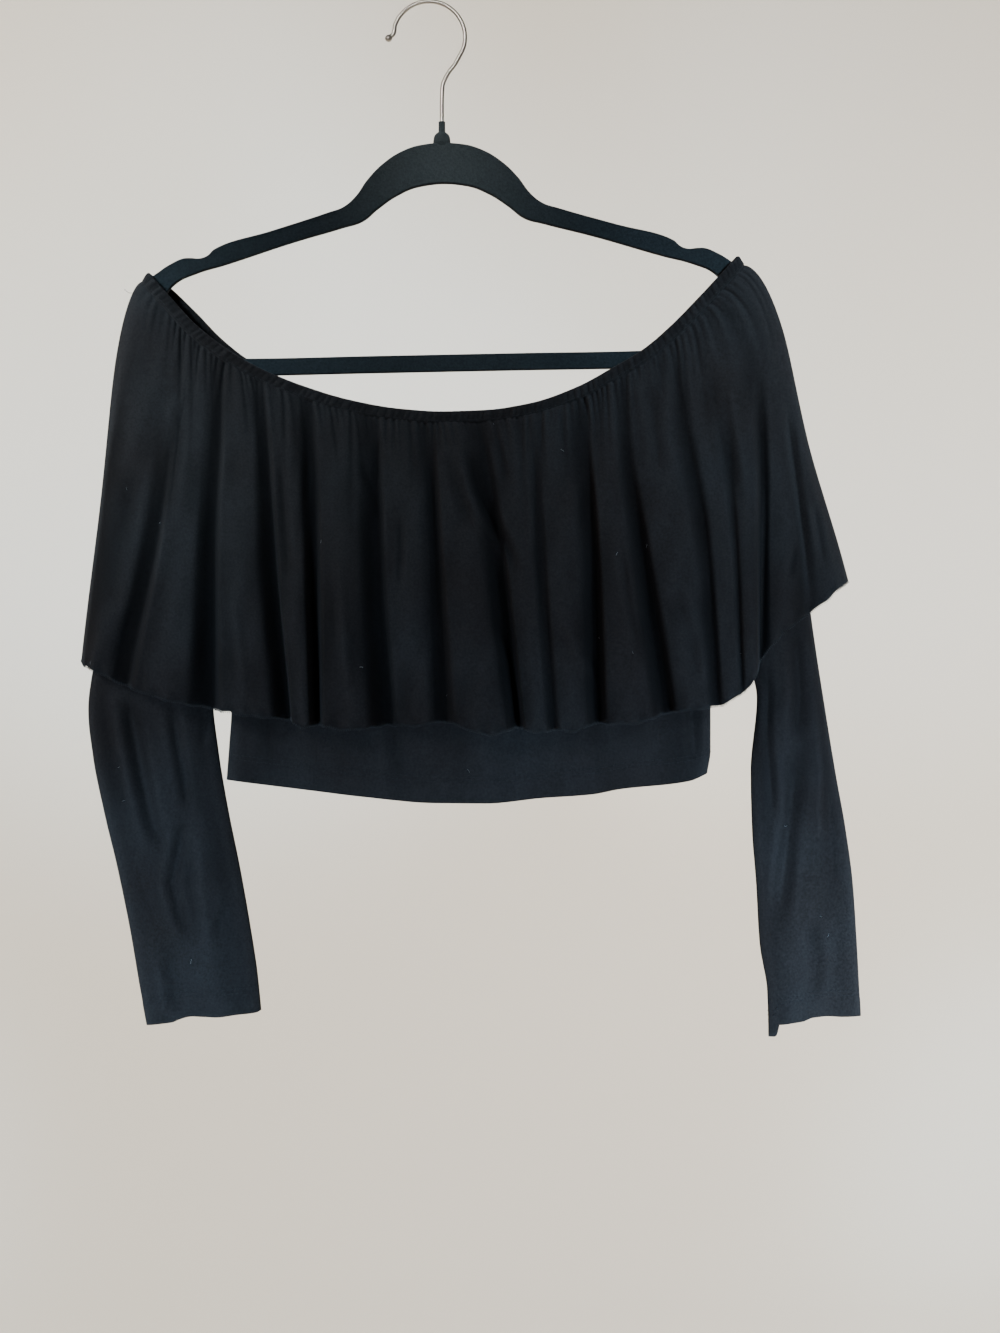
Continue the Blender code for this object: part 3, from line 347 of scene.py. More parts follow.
LEFT_OUTER_FOLD = table(
    EdgePoint, (-213.3, -221), (-221, -262), (-228, -330), (-236, -412),
)
RIGHT_OUTER_FOLD = table(
    EdgePoint, (239.7, -217), (252, -261), (263.5, -327), (273, -397),
)
LEFT_SECTIONS = table(
    SleeveSection,
    (-151.5, -425, -236, -412, 9), (-156.5, -470, -242.5, -466, 9),
    (-158.5, -510, -249.5, -517, 8.8), (-154.5, -548, -246, -552, 8.6),
    (-147.5, -590, -238, -592, 8.4), (-138.8, -633, -228, -634, 8.2),
    (-131.5, -674, -218.8, -679, 8), (-126, -710, -211.8, -720, 7.8),
    (-123.2, -737.5, -206.5, -748.5, 7.6),
)
RIGHT_SECTIONS = table(
    SleeveSection,
    (205.5, -424, 273, -397, 9), (227, -468, 281.5, -462, 9),
    (240.5, -510, 289, -511, 8.8), (236, -562, 297.5, -563, 8.6),
    (237, -605, 304.8, -604, 8.4), (240, -645, 310.3, -645, 8.2),
    (242.5, -688, 313.3, -690, 8), (248, -722, 315, -722, 7.8),
    (249, -748.5, 316, -742, 7.6),
)
# How far each cuff's edge lifts from a straight line, across from the inner edge to the outer fold
LEFT_CUFF = (
    (0.0, 0.04, 0.23, 0.33, 0.5, 0.62, 0.7, 0.77, 1.0),
    (0.0, -1.2, -0.5, -0.6, 1.4, 2.9, 1.9, 0.3, 0.0),
)
RIGHT_CUFF = ((0.0, 0.13, 0.26, 0.36, 0.46, 0.59, 0.77, 1.0), (0.0, 0.0, 0.7, 1.2, 3.2, 3.5, 1.9, 0.3))
# The rows above the cuff that take up its wave
CUFF_ROWS = 10
LEFT_SLEEVE_CREASES = creases(
    Side.FRONT,
    (2.9, 5.1, (-223, -496), (-212, -552), (-202, -600), (-190, -628)),
    (-1.1, 5.1, (-230, -500), (-222, -552), (-213, -600)),
    (2.5, 3.9, (-189, -504), (-183, -545), (-178, -570), (-177, -596)),
    (2.2, 3.9, (-177, -588), (-183, -623), (-187.5, -643), (-181, -670), (-173, -690)),
    (1.2, 4.6, (-191, -692), (-186, -718), (-183, -742)),
    (-0.8, 4.2, (-168, -600), (-166, -650), (-158, -704)),
    (1, 3.1, (-160, -520), (-166, -548)),
    (0.9, 3.1, (-146, -660), (-156, -684)),
) + creases(
    Side.BACK,
    (2.4, 5.1, (-215, -520), (-202, -560), (-190, -604)),
    (2, 4.2, (-170, -630), (-174, -668), (-178, -708)),
    (-0.9, 5.1, (-180, -500), (-172, -560)),
    (1.2, 3.4, (-206, -640), (-192, -668)),
)
RIGHT_SLEEVE_CREASES = creases(
    Side.FRONT,
    (2.7, 5.1, (268, -456), (271, -504), (268, -545)),
    (2.7, 5.1, (268, -536), (266, -576), (262, -612), (259, -640), (255, -680)),
    (1.6, 2.9, (247, -470), (248, -504), (247, -534), (250, -576), (255, -610)),
    (-1.1, 5.1, (281, -500), (284, -560), (284, -620)),
    (1.4, 5.1, (290, -560), (294, -606), (296, -654)),
    (1.1, 4.2, (276, -664), (284, -700), (282, -734)),
) + creases(
    Side.BACK,
    (2.4, 5.1, (262, -500), (268, -548), (278, -592)),
    (2, 4.2, (290, -640), (286, -676), (284, -712)),
    (1.2, 3.4, (252, -600), (262, -650)),
)

HANGER_OUTSIDE = table(
    HangerPoint, (14, -1.6), (29, -6), (43, -14.6), (55, -26.4), (64, -38.6), (73, -46), (84, -49.8),
    (125, -62.2), (168, -75), (173.5, -79.8), (179, -81.6), (185.5, -81.2), (191, -81.4), (200, -85.2),
    (208.5, -90.5), (216, -96.9), (217.8, -107), (218.6, -120), (217, -135), (210, -150.5), (198, -162),
    (178, -167.4), (150, -168), (50, -168),
)
HANGER_INSIDE = table(
    HangerPoint, (17, -32), (34, -38.6), (48, -48), (59, -56.6), (74, -61.2), (110, -71), (160, -86.4),
    (182, -92.6), (197, -99.5), (204, -108), (206.5, -120), (204.5, -135), (197, -147.5), (181, -154.6),
    (150, -155.6), (50, -155.6),
)
HOOK_STEM = table(
    EdgePoint, (19.6, -43.6), (13.2, -52.6), (9.9, -61), (9.4, -72), (9.4, -86), (9.4, -102.1),
)
HOOK_LIP = table(
    EdgePoint, (-25.9, -22.2), (-25.3, -19.4),
)
COLLAR_PROFILE = (
    (2.5, 15.2), (2.5, 8), (2.9, 7.3), (4.2, 6.5), (5.2, 5.4), (5.8, 4.1), (6.1, 2.4), (6.3, 0.8),
    (6.4, -0.2),
)
# The skirt that fairs the collar into the arch: its radii across and in depth, and its heights
COLLAR_SKIRT = (6.2, 2.6)
COLLAR_FLATNESS = 0.25
SKIRT_SIDE = -1.0
SKIRT_FACE = -3.0

# Where bits of lint catch the light, on the flounce and on the sleeves
LINT_PLACES = table(
    EdgePoint, (123, -464), (226, -478), (-243, -482), (97, -330), (-48, -486), (-226, -560),
    (-222, -583), (-172, -702), (262, -602), (286, -668), (30, -562), (158, -398),
)


def smooth_curve(places: Sequence[float], values: Sequence[float]) -> Callable:
    """A monotone cubic through values.

    Args:
        places: rising places.
        values: the value at each place.

    Returns:
        A function of place.
    """
    places = np.asarray(places, float)
    values = np.asarray(values, float)
    steps = np.diff(places)
    slopes = np.diff(values) / steps
    tangents = np.empty_like(values)
    tangents[0] = slopes[0]
    tangents[-1] = slopes[-1]
    same_way = slopes[:-1] * slopes[1:] > 0.0
    near = 2.0 * steps[1:] + steps[:-1]
    far = steps[1:] + 2.0 * steps[:-1]
    safe_before = np.where(same_way, slopes[:-1], 1.0)
    safe_after = np.where(same_way, slopes[1:], 1.0)
    mean = (near + far) / (near / safe_before + far / safe_after)
    tangents[1:-1] = np.where(same_way, mean, 0.0)

    def value(place):
        """The curve's value at a place or an array of them."""
        place = np.clip(place, places[0], places[-1])
        cell = np.clip(np.searchsorted(places, place, side="right") - 1, 0, len(steps) - 1)
        step = steps[cell]
        t = (place - places[cell]) / step
        start_weight = (1.0 + 2.0 * t) * (1.0 - t) ** 2
        end_weight = t * t * (3.0 - 2.0 * t)
        start_slope = t * (1.0 - t) ** 2 * step
        end_slope = t * t * (t - 1.0) * step
        return (
            start_weight * values[cell]
            + end_weight * values[cell + 1]
            + start_slope * tangents[cell]
            + end_slope * tangents[cell + 1]
        )

    return value


def smooth_step(share):
    """A smooth climb from 0 to 1, flat before and after."""
    share = np.clip(share, 0.0, 1.0)
    return share * share * (3.0 - 2.0 * share)


def sway(place: np.ndarray, amount: float, step: float) -> np.ndarray:
    """How far an uneven wave runs ahead of an even one, at places along it."""
    return amount * np.sin(place / step)


def leaning_folds(places: np.ndarray, values: Sequence[float], lean: float) -> Callable:
    """Folds between ridges and troughs: broad flat ridges that roll off slowly to one side.

    Args:
        places: rising places of the ridges and troughs.
        values: how far each stands out.
        lean: 1 where the ridges roll off slowly towards higher places, -1 the other way.

    Returns:
        A function of place.
    """
    heights = np.asarray(values, float)
    even = smooth_curve(places, heights)
    slopes = np.diff(heights)
    turns = np.concatenate([[False], slopes[:-1] * slopes[1:] < 0.0, [False]])

    def value(place):
        """How far the cloth stands out at a place or an array of them."""
        cell = np.clip(np.searchsorted(places, place, side="right") - 1, 0, len(places) - 2)
        t = (place - places[cell]) / (places[cell + 1] - places[cell])
        low = np.minimum(heights[cell], heights[cell + 1])
        high = np.maximum(heights[cell], heights[cell + 1])
        rising = heights[cell + 1] > heights[cell]
        from_trough = np.where(rising, t, 1.0 - t)
        slow = smooth_step(from_trough / ROLL_SHARE)
        quick = smooth_step((from_trough - STEEP_START) / STEEP_SHARE)
        folded = low + (high - low) * np.where(rising == (lean > 0.0), quick, slow)
        mixed = FLAT_SHARE * folded + (1.0 - FLAT_SHARE) * even(place)
        return np.where(turns[cell] & turns[cell + 1], mixed, even(place))

    return value


def path_curve(points: Sequence[EdgePoint]) -> Callable:
    """A function from 0 to 1 that runs along outline points, by length."""
    xs = np.array([p.x for p in points])
    zs = np.array([p.z for p in points])
    lengths = np.concatenate([[0.0], np.cumsum(np.hypot(np.diff(xs), np.diff(zs)))])
    lengths /= lengths[-1]
    along_x = smooth_curve(lengths, xs)
    along_z = smooth_curve(lengths, zs)
    return lambda t: (along_x(t), along_z(t))


def unit(vectors: np.ndarray) -> np.ndarray:
    """Vectors brought to length 1."""
    return vectors / np.maximum(np.linalg.norm(vectors, axis=-1, keepdims=True), 1e-9)


def running_length(points: np.ndarray) -> np.ndarray:
    """The length along a row of points up to each of them."""
    return np.concatenate([[0.0], np.cumsum(np.linalg.norm(np.diff(points, axis=0), axis=1))])


class NeckRing:
    """The path of the casing's top edge round the neck, with its directions, by length."""

    def __init__(self) -> None:
        """Works out the ring's points and the directions out of it and down from it."""
        half_turn = np.linspace(-math.pi / 2.0, math.pi / 2.0, NECK_SAMPLES)
        across = np.sin(half_turn)
        left = NECK_FRONT[0].x
        right = NECK_FRONT[-1].x
        xs = (left + right) / 2.0 + (right - left) / 2.0 * across
        depth = (1.0 - np.abs(across) ** NECK_SIDE_POWER) ** (1.0 / NECK_END_POWER)
        front_z = smooth_curve([p.x for p in NECK_FRONT], [p.z for p in NECK_FRONT])(xs)
        rise = smooth_curve([p.x for p in NECK_BACK_RISE], [p.z for p in NECK_BACK_RISE])(xs)
        front = np.stack([xs, Side.FRONT.value * NECK_DEPTH * depth, front_z], axis=1)
        back = np.stack([xs, Side.BACK.value * NECK_DEPTH * depth, front_z + rise], axis=1)
        self.points = np.concatenate([front, back[-2:0:-1]])
        tangent = np.roll(self.points, -1, axis=0) - np.roll(self.points, 1, axis=0)
        lean = np.arctan(np.gradient(front_z, xs)) * (1.0 - TIP_EASING * np.abs(across) ** TIP_POWER)
        lean = np.concatenate([lean, lean[-2:0:-1]])
        self.downward = np.stack([np.sin(lean), np.zeros(len(lean)), -np.cos(lean)], axis=1)
        self.outward = unit(np.cross(self.downward, tangent))
        closed = np.concatenate([self.points, self.points[:1]])
        self.lengths = running_length(closed)
        self.tip_index = NECK_SAMPLES - 1

    def place(self, x: float, side: Side) -> float:
        """How far along the ring the given x lies, on the front or the back."""
        if side is Side.FRONT:
            return np.interp(x, self.points[:NECK_SAMPLES, 0], self.lengths[:NECK_SAMPLES])
        back_x = np.append(self.points[self.tip_index :, 0], self.points[0, 0])
        back_lengths = self.lengths[self.tip_index :]
        return np.interp(x, back_x[::-1], back_lengths[::-1])

    def at(self, length, out, down) -> np.ndarray:
        """Points at lengths along the ring, moved out from it and down from it."""
        length = np.mod(length, self.lengths[-1])
        result = []
        for axis in range(3):
            along = [
                np.interp(length, self.lengths, np.append(values, values[0]))
                for values in (self.points[:, axis], self.outward[:, axis], self.downward[:, axis])
            ]
            result.append(along[0] + out * along[1] + down * along[2])
        return np.stack(result, axis=-1)


class Gathers:
    """The uneven gathers that the elastic draws in, the same on each run."""

    SPACING = 4.7
    UNEVENNESS = 0.34
    SEED = 11
    DEPTHS = (0.35, 1.0)
    REACHES = (11.0, 28.0)
    LONG_SHARE = 0.25
    MOST_LEAN = 0.09
    FULLNESS = 0.55
    WIDENING = 0.03
    FADE = 1.4

    def __init__(self, ring_length: float) -> None:
        """Draws where each gather lies on the ring, how deep it is and how far down it shows.

        Args:
            ring_length: the length of the casing's top edge.
        """
        draw = np.random.default_rng(self.SEED)
        count = round(ring_length / self.SPACING)
        steps = self.SPACING * (1.0 + self.UNEVENNESS * draw.uniform(-1.0, 1.0, count))
        self.ring_length = ring_length
        self.places = np.cumsum(steps) * ring_length / steps.sum()
        self.depths = draw.uniform(*self.DEPTHS, count)
        reaches = draw.uniform(*self.REACHES, count)
        self.reaches = reaches * np.where(draw.random(count) < self.LONG_SHARE, 2.0, 1.0)
        self.leans = draw.uniform(-self.MOST_LEAN, self.MOST_LEAN, count)

    def ruche(self, length: np.ndarray) -> np.ndarray:
        """How full the ruched casing is at lengths along the ring, from 0 in a gather to about 1."""
        length = np.mod(length, self.ring_length)
        starts = np.concatenate([[self.places[-1] - self.ring_length], self.places])
        cell = np.clip(np.searchsorted(starts, length, side="right") - 1, 0, len(self.places) - 1)
        t = (length - starts[cell]) / (starts[cell + 1] - starts[cell])
        return self.depths[cell] * np.maximum(1.0 - (2.0 * t - 1.0) ** 2, 0.0) ** self.FULLNESS

    def fall(self, length: np.ndarray, below: np.ndarray, width: float) -> np.ndarray:
        """How deep the gathers press below the seam.

        Args:
            length: a length along the ring for each column of cloth.
            below: how far each point lies below the seam, as rows by columns.
            width: half the width of a gather at the seam.

        Returns:
            The press at each point, as rows by columns.
        """
        press = np.zeros_like(below)
        for place, depth, reach, lean in zip(self.places, self.depths, self.reaches, self.leans):
            away = length[None, :] - place
            away = (away + self.ring_length / 2.0) % self.ring_length - self.ring_length / 2.0
            spread = width + self.WIDENING * below
            shape = np.exp(-(((away + lean * below) / spread) ** 2))
            press += depth * shape * np.exp(-((below / reach) ** self.FADE))
        return press


class Slack:
    """Gentle uneven waves of loose cloth, the same on each run."""

    COUNT = 16
    WIDTHS = (16.0, 70.0)
    LENGTHS = (70.0, 260.0)
    LEAST_SHARE = 0.3

    def __init__(self, seed: int, height: float) -> None:
        """Draws a set of waves that together stand about as high as said."""
        draw = np.random.default_rng(seed)
        count = self.COUNT
        self.across = TURN / draw.uniform(*self.WIDTHS, count)
        self.downward = TURN / draw.uniform(*self.LENGTHS, count) * draw.choice([-1.0, 1.0], count)
        self.phases = draw.uniform(0.0, TURN, count)
        self.heights = height * draw.uniform(self.LEAST_SHARE, 1.0, count) / math.sqrt(count)

    def at(self, x: np.ndarray, z: np.ndarray) -> np.ndarray:
        """How far the cloth stands out or in at places seen from the front."""
        total = np.zeros(np.broadcast(x, z).shape)
        for across, downward, phase, height in zip(self.across, self.downward, self.phases, self.heights):
            total += height * np.sin(across * x + downward * z + phase)
        return total


def crease_press(x: np.ndarray, z: np.ndarray, mark: Crease) -> np.ndarray:
    """How far one crease presses in at places seen from the front, with a slight lip beside it."""
    path = np.array(mark.path)
    runs = np.diff(path, axis=0)
    lengths = np.linalg.norm(runs, axis=1)
    nearest = np.full(x.shape, np.inf)
    along = np.zeros(x.shape)
    before = 0.0
    for start, run, length in zip(path, runs, lengths):
        t = np.clip(((x - start[0]) * run[0] + (z - start[1]) * run[1]) / length**2, 0.0, 1.0)
        away = np.hypot(x - start[0] - t * run[0], z - start[1] - t * run[1])
        along = np.where(away < nearest, (before + t * length) / lengths.sum(), along)
        nearest = np.minimum(away, nearest)
        before += length
    taper = smooth_step(np.minimum(along, 1.0 - along) / CREASE_TAPER)
    reaches = nearest / mark.reach
    lip = CREASE_LIP * np.exp(-((reaches - CREASE_LIP_AT) ** 2) * 2.0)
    return mark.press * taper * (np.exp(-(reaches**CREASE_POINT)) - lip)


def press_creases(
    points: np.ndarray, marks: Sequence[Crease], nearest_out: float | np.ndarray = 0.0
) -> None:
    """Pushes creases into a wall.

    Args:
        points: the wall's points, which are changed.
        marks: the creases, each on its own side.
        nearest_out: how near the middle plane a crease may bring the wall, where it isn't nearer already.
    """
    for mark in marks:
        sign = mark.side.value
        out = points[..., 1] * sign
        amount = crease_press(points[..., 0], points[..., 2], mark)
        moved = out - amount * np.clip(out / CREASE_FADES_AT, 0.0, 1.0)
        moved = np.maximum(moved, np.minimum(out, nearest_out))
        points[..., 1] = sign * np.where(out > 0.0, moved, out)


def grid_normals(grid: np.ndarray) -> np.ndarray:
    """The unit normals of a grid of points, by its rows and columns."""
    down = np.gradient(grid, axis=0)
    across = np.gradient(grid, axis=1)
    return unit(np.cross(across, down))


def painted_fold_shade(grid: np.ndarray, open_from: float) -> np.ndarray:
    """How deep each point lies in a fold, a gather or a crease, where the cloth's colour gets painted shade.

    Args:
        grid: a panel's points, by rows and columns.
        open_from: how far from the middle plane the panel's face begins; nearer cloth is its rim.

    Returns:
        From 0 on the open face to nearly 1 in a deep fold.
    """
    out = np.abs(grid[..., 1])
    crest = out.copy()
    for step in range(1, FOLD_SHADE_REACH + 1):
        crest[:, step:] = np.maximum(crest[:, step:], out[:, :-step])
        crest[:, :-step] = np.maximum(crest[:, :-step], out[:, step:])
    depth = 1.0 - np.exp(-(crest - out) / FOLD_SHADE_DEPTH)
    return depth * np.clip((out - open_from) / FOLD_SHADE_EDGE, 0.0, 1.0)


def mark_painted_fold_shade(obj: bpy.types.Object, values: np.ndarray) -> None:
    """Keeps each point's painted fold shade with the cloth, for its material."""
    layer = obj.data.attributes.new("painted_fold_shade", "FLOAT", "POINT")
    layer.data.foreach_set("value", values.astype(np.float32).ravel())


class Line(NamedTuple):
    """A line on cloth: its points, the cloth's outward normals and the way to the cloth's edge."""

    points: np.ndarray
    normals: np.ndarray
    edgeward: np.ndarray


def line_above_edge(grid: np.ndarray, normals: np.ndarray, height: float) -> Line:
    """The line that runs at a height above a panel's lower edge.

    Args:
        grid: the panel's points, rows down to the edge.
        normals: the outward normals at those points.
        height: how far above the edge the line runs.

    Returns:
        The line, a point for each column.
    """
    points = np.empty((grid.shape[1], 3))
    outward = np.empty_like(points)
    for c in range(grid.shape[1]):
        up = running_length(grid[::-1, c])
        for axis in range(3):
            points[c, axis] = np.interp(height, up, grid[::-1, c, axis])
            outward[c, axis] = np.interp(height, up, normals[::-1, c, axis])
    return Line(points, unit(outward), unit(grid[-1] - grid[-3]))


def evenly(line: Line, spacing: float) -> Line:
    """The same line with its points at even spacing."""
    lengths = running_length(line.points)
    places = np.arange(spacing / 2.0, lengths[-1], spacing)
    values = []
    for field in line:
        values.append(np.stack([np.interp(places, lengths, field[:, axis]) for axis in range(3)], axis=1))
    return Line(values[0], unit(values[1]), unit(values[2]))


def tangents(line: Line) -> np.ndarray:
    """The unit directions along a line."""
    return unit(np.gradient(line.points, axis=0))


def tube_mesh(paths: np.ndarray, radii: np.ndarray, sides: int, closed: bool) -> tuple[np.ndarray, list]:
    """Many short tubes as one set of points and faces.

    Args:
        paths: tubes by points by 3.
        radii: a radius for each point of a tube.
        sides: how many sides each tube has.
        closed: whether each tube is a loop.

    Returns:
        The points and the faces.
    """
    count, length = paths.shape[:2]
    if closed:
        run = np.roll(paths, -1, axis=1) - np.roll(paths, 1, axis=1)
    else:
        run = np.gradient(paths, axis=1)
    run = unit(run)
    seed = unit(np.cross(run[:, :1], np.array([0.31, 0.22, 0.93])) + 1e-6)
    first = unit(np.cross(run, np.broadcast_to(seed, run.shape)))
    second = np.cross(run, first)
    turns = TURN * np.arange(sides) / sides
    ring = first[:, :, None] * np.cos(turns)[:, None] + second[:, :, None] * np.sin(turns)[:, None]
    points = paths[:, :, None] + ring * radii[None, :, None, None]
    faces = []
    last = length if closed else length - 1
    for tube in range(count):
        base = tube * length * sides
        for p in range(last):
            after = (p + 1) % length
            for s in range(sides):
                beside = (s + 1) % sides
                faces.append((
                    base + p * sides + s,
                    base + p * sides + beside,
                    base + after * sides + beside,
                    base + after * sides + s,
                ))
        if not closed:
            faces.append(tuple(base + s for s in reversed(range(sides))))
            faces.append(tuple(base + (length - 1) * sides + s for s in range(sides)))
    return points.reshape(-1, 3), faces


def add_object(name: str, data: bpy.types.ID) -> bpy.types.Object:
    """Adds an object with its data to the scene."""
    obj = bpy.data.objects.new(name, data)
    bpy.context.scene.collection.objects.link(obj)
    return obj


def smooth_mesh(name: str, points: list, faces: list, material: bpy.types.Material) -> bpy.types.Object:
    """Adds a smooth mesh object from points in metres."""
    mesh = bpy.data.meshes.new(name)
    mesh.from_pydata(points, [], faces)
    mesh.materials.append(material)
    mesh.shade_smooth()
    return add_object(name, mesh)


def new_mesh(name: str, points: np.ndarray, faces: list, material: bpy.types.Material) -> bpy.types.Object:
    """Adds a smooth mesh object from points in millimetres, riding on the part's one body."""
    obj = smooth_mesh(name, (points * MM).tolist(), faces, material)
    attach(obj, ROOT)
    return obj


def thicken(obj: bpy.types.Object, thickness: float = JERSEY) -> None:
    """Makes a cloth wall of an open surface, half to each side."""
    wall = obj.modifiers.new("Wall", "SOLIDIFY")
    wall.thickness = thickness * MM
    wall.offset = 0.0
    wall.use_even_offset = False
    wall.use_quality_normals = True


def map_cloth(obj: bpy.types.Object, across: np.ndarray, down: np.ndarray) -> None:
    """Gives each face corner its place on the flat cloth.

    Args:
        obj: the piece of cloth.
        across: each point's place across the cloth, in millimetres.
        down: each point's place down the cloth, in millimetres.
    """
    layer = obj.data.uv_layers.new(name="cloth")
    corners = np.empty(len(obj.data.loops), dtype=np.int32)
    obj.data.loops.foreach_get("vertex_index", corners)
    places = np.stack([across.ravel()[corners], down.ravel()[corners]], axis=1)
    layer.data.foreach_set("uv", places.astype(np.float32).ravel())


def numbered(grid: np.ndarray) -> np.ndarray:
    """The numbers of a grid's points, row by row."""
    return np.arange(grid.shape[0] * grid.shape[1]).reshape(grid.shape[:2])


def grid_faces(index: np.ndarray, outward_first: bool) -> np.ndarray:
    """The quads of a grid, from its points' numbers."""
    quads = np.stack([index[:-1, :-1], index[:-1, 1:], index[1:, 1:], index[1:, :-1]], axis=-1)
    return quads.reshape(-1, 4) if outward_first else quads.reshape(-1, 4)[:, ::-1]


def cloth_places(grid: np.ndarray) -> tuple[np.ndarray, np.ndarray]:
    """Each grid point's place across and down the cloth, measured along it."""
    across = np.linalg.norm(np.diff(grid, axis=1), axis=2).mean(axis=0)
    down = np.linalg.norm(np.diff(grid, axis=0), axis=2).mean(axis=1)
    columns = np.concatenate([[0.0], np.cumsum(across)])
    rows = np.concatenate([[0.0], np.cumsum(down)])
    return np.tile(columns, (len(rows), 1)), np.tile(rows[:, None], len(columns))


def cloth_wall(
    name: str, grid: np.ndarray, faces: np.ndarray, material: bpy.types.Material, open_from: float
) -> bpy.types.Object:
    """Makes a panel's wall, with its place on the flat cloth and its painted fold shade kept for the
    material.

    Args:
        name: the new piece's name.
        grid: the panel's points, by rows and columns.
        faces: its quads; a point that none of them has is left out.
        material: the cloth.
        open_from: how far from the middle plane the panel's face begins.

    Returns:
        The wall.
    """
    used, corners = np.unique(faces, return_inverse=True)
    across, down = cloth_places(grid)
    obj = new_mesh(name, grid.reshape(-1, 3)[used], corners.reshape(-1, 4).tolist(), material)
    map_cloth(obj, across.ravel()[used], down.ravel()[used])
    mark_painted_fold_shade(obj, painted_fold_shade(grid, open_from).ravel()[used])
    thicken(obj)
    return obj


class ShaderGraph:
    """Places shader nodes and links them, left to right."""

    STEP = 180

    def __init__(self, tree: bpy.types.NodeTree) -> None:
        """Takes the node tree to fill."""
        self.tree = tree
        self.placed = 0

    def add(self, kind: str, **values) -> bpy.types.Node:
        """Adds a node and sets its own properties."""
        node = self.tree.nodes.new(kind)
        node.location = (self.placed % 8 * self.STEP, -(self.placed // 8) * self.STEP)
        self.placed += 1
        for name, value in values.items():
            setattr(node, name, value)
        return node

    def feed(self, socket: bpy.types.NodeSocket, value) -> None:
        """Links a socket to another, or sets its value."""
        if isinstance(value, bpy.types.NodeSocket):
            self.tree.links.new(value, socket)
        else:
            socket.default_value = value

    def fill(self, node: bpy.types.Node, values: dict) -> None:
        """Feeds a node's inputs by their names or their numbers."""
        for name, value in values.items():
            self.feed(node.inputs[name], value)

    def math(self, operation: str, *values) -> bpy.types.NodeSocket:
        """The result of a Math node."""
        node = self.add("ShaderNodeMath", operation=operation)
        for socket, value in zip(node.inputs, values):
            self.feed(socket, value)
        return node.outputs[0]

    def blend(self, factor, first, second) -> bpy.types.NodeSocket:
        """The result of mixing two colours."""
        node = self.add("ShaderNodeMix", data_type="RGBA")
        self.fill(node, {"Factor": factor, 6: first, 7: second})
        return node.outputs[2]

    def scale(self, colour, factor) -> bpy.types.NodeSocket:
        """A colour made lighter or darker by a factor."""
        node = self.add("ShaderNodeVectorMath", operation="SCALE")
        self.fill(node, {0: colour, "Scale": factor})
        return node.outputs[0]

    def spread(self, value, low: float, high: float, to_low: float, to_high: float) -> bpy.types.NodeSocket:
        """A value brought from one range into another, held at its ends."""
        node = self.add("ShaderNodeMapRange")
        self.fill(node, {"Value": value, "From Min": low, "From Max": high})
        self.fill(node, {"To Min": to_low, "To Max": to_high})
        return node.outputs[0]

    def noise(
        self, vector, scale: float, detail: float = 2.0, roughness: float = 0.5
    ) -> bpy.types.NodeSocket:
        """The value of a Noise texture."""
        node = self.add("ShaderNodeTexNoise")
        self.fill(node, {"Vector": vector, "Scale": scale, "Detail": detail, "Roughness": roughness})
        return node.outputs["Fac"]


class SocketKind(Enum):
    """The kinds of socket that the shared effects use."""

    NUMBER = "NodeSocketFloat"
    COLOUR = "NodeSocketColor"
    VECTOR = "NodeSocketVector"


class EffectGroup:
    """A shared shader effect as a node group with named sockets."""

    def __init__(self, name: str, inputs: dict[str, SocketKind], outputs: dict[str, SocketKind]) -> None:
        """Makes the group and its sockets."""
        self.tree = bpy.data.node_groups.new(name, "ShaderNodeTree")
        for label, kind in inputs.items():
            self.tree.interface.new_socket(name=label, in_out="INPUT", socket_type=kind.value)
        for label, kind in outputs.items():
            self.tree.interface.new_socket(name=label, in_out="OUTPUT", socket_type=kind.value)
        self.graph = ShaderGraph(self.tree)
        self.source = self.graph.add("NodeGroupInput")
        self.sink = self.graph.add("NodeGroupOutput")

    def put(self, label: str, value) -> None:
        """Sends a value to one of the group's outputs."""
        self.graph.feed(self.sink.inputs[label], value)


def knit_effect() -> bpy.types.NodeTree:
    """The relief of plain jersey: rows of small loops, from a place on the cloth in millimetres, with painted
    shade between the loops.
    """
    group = EffectGroup(
        "jersey_knit",
        {"Place": SocketKind.VECTOR, "Wale": SocketKind.NUMBER, "Course": SocketKind.NUMBER},
        {"Height": SocketKind.NUMBER, "Shade": SocketKind.NUMBER},
    )
    g = group.graph
    place, wale, course = (group.source.outputs[label] for label in ("Place", "Wale", "Course"))
    split = g.add("ShaderNodeSeparateXYZ")
    g.fill(split, {0: place})
    wander = g.math("MULTIPLY", g.math("SUBTRACT", g.noise(place, 0.35), 0.5), 0.5)
    across = g.math("ADD", g.math("DIVIDE", split.outputs[0], wale), wander)
    down = g.math("DIVIDE", split.outputs[1], course)
    rib = g.math("ABSOLUTE", g.math("SINE", g.math("MULTIPLY", across, math.pi)))
    slant = g.math("ADD", down, g.math("MULTIPLY", rib, 0.45))
    wave = g.math("SINE", g.math("MULTIPLY", slant, TURN))
    height = g.math("MULTIPLY", rib, g.math("ADD", g.math("MULTIPLY", wave, 0.3), 0.7))
    group.put("Height", height)
    # The Shade output is painted shade: darker between the loops, lighter on their tops
    group.put("Shade", g.spread(height, 0.0, 1.0, 0.8, 1.12))
    return group.tree


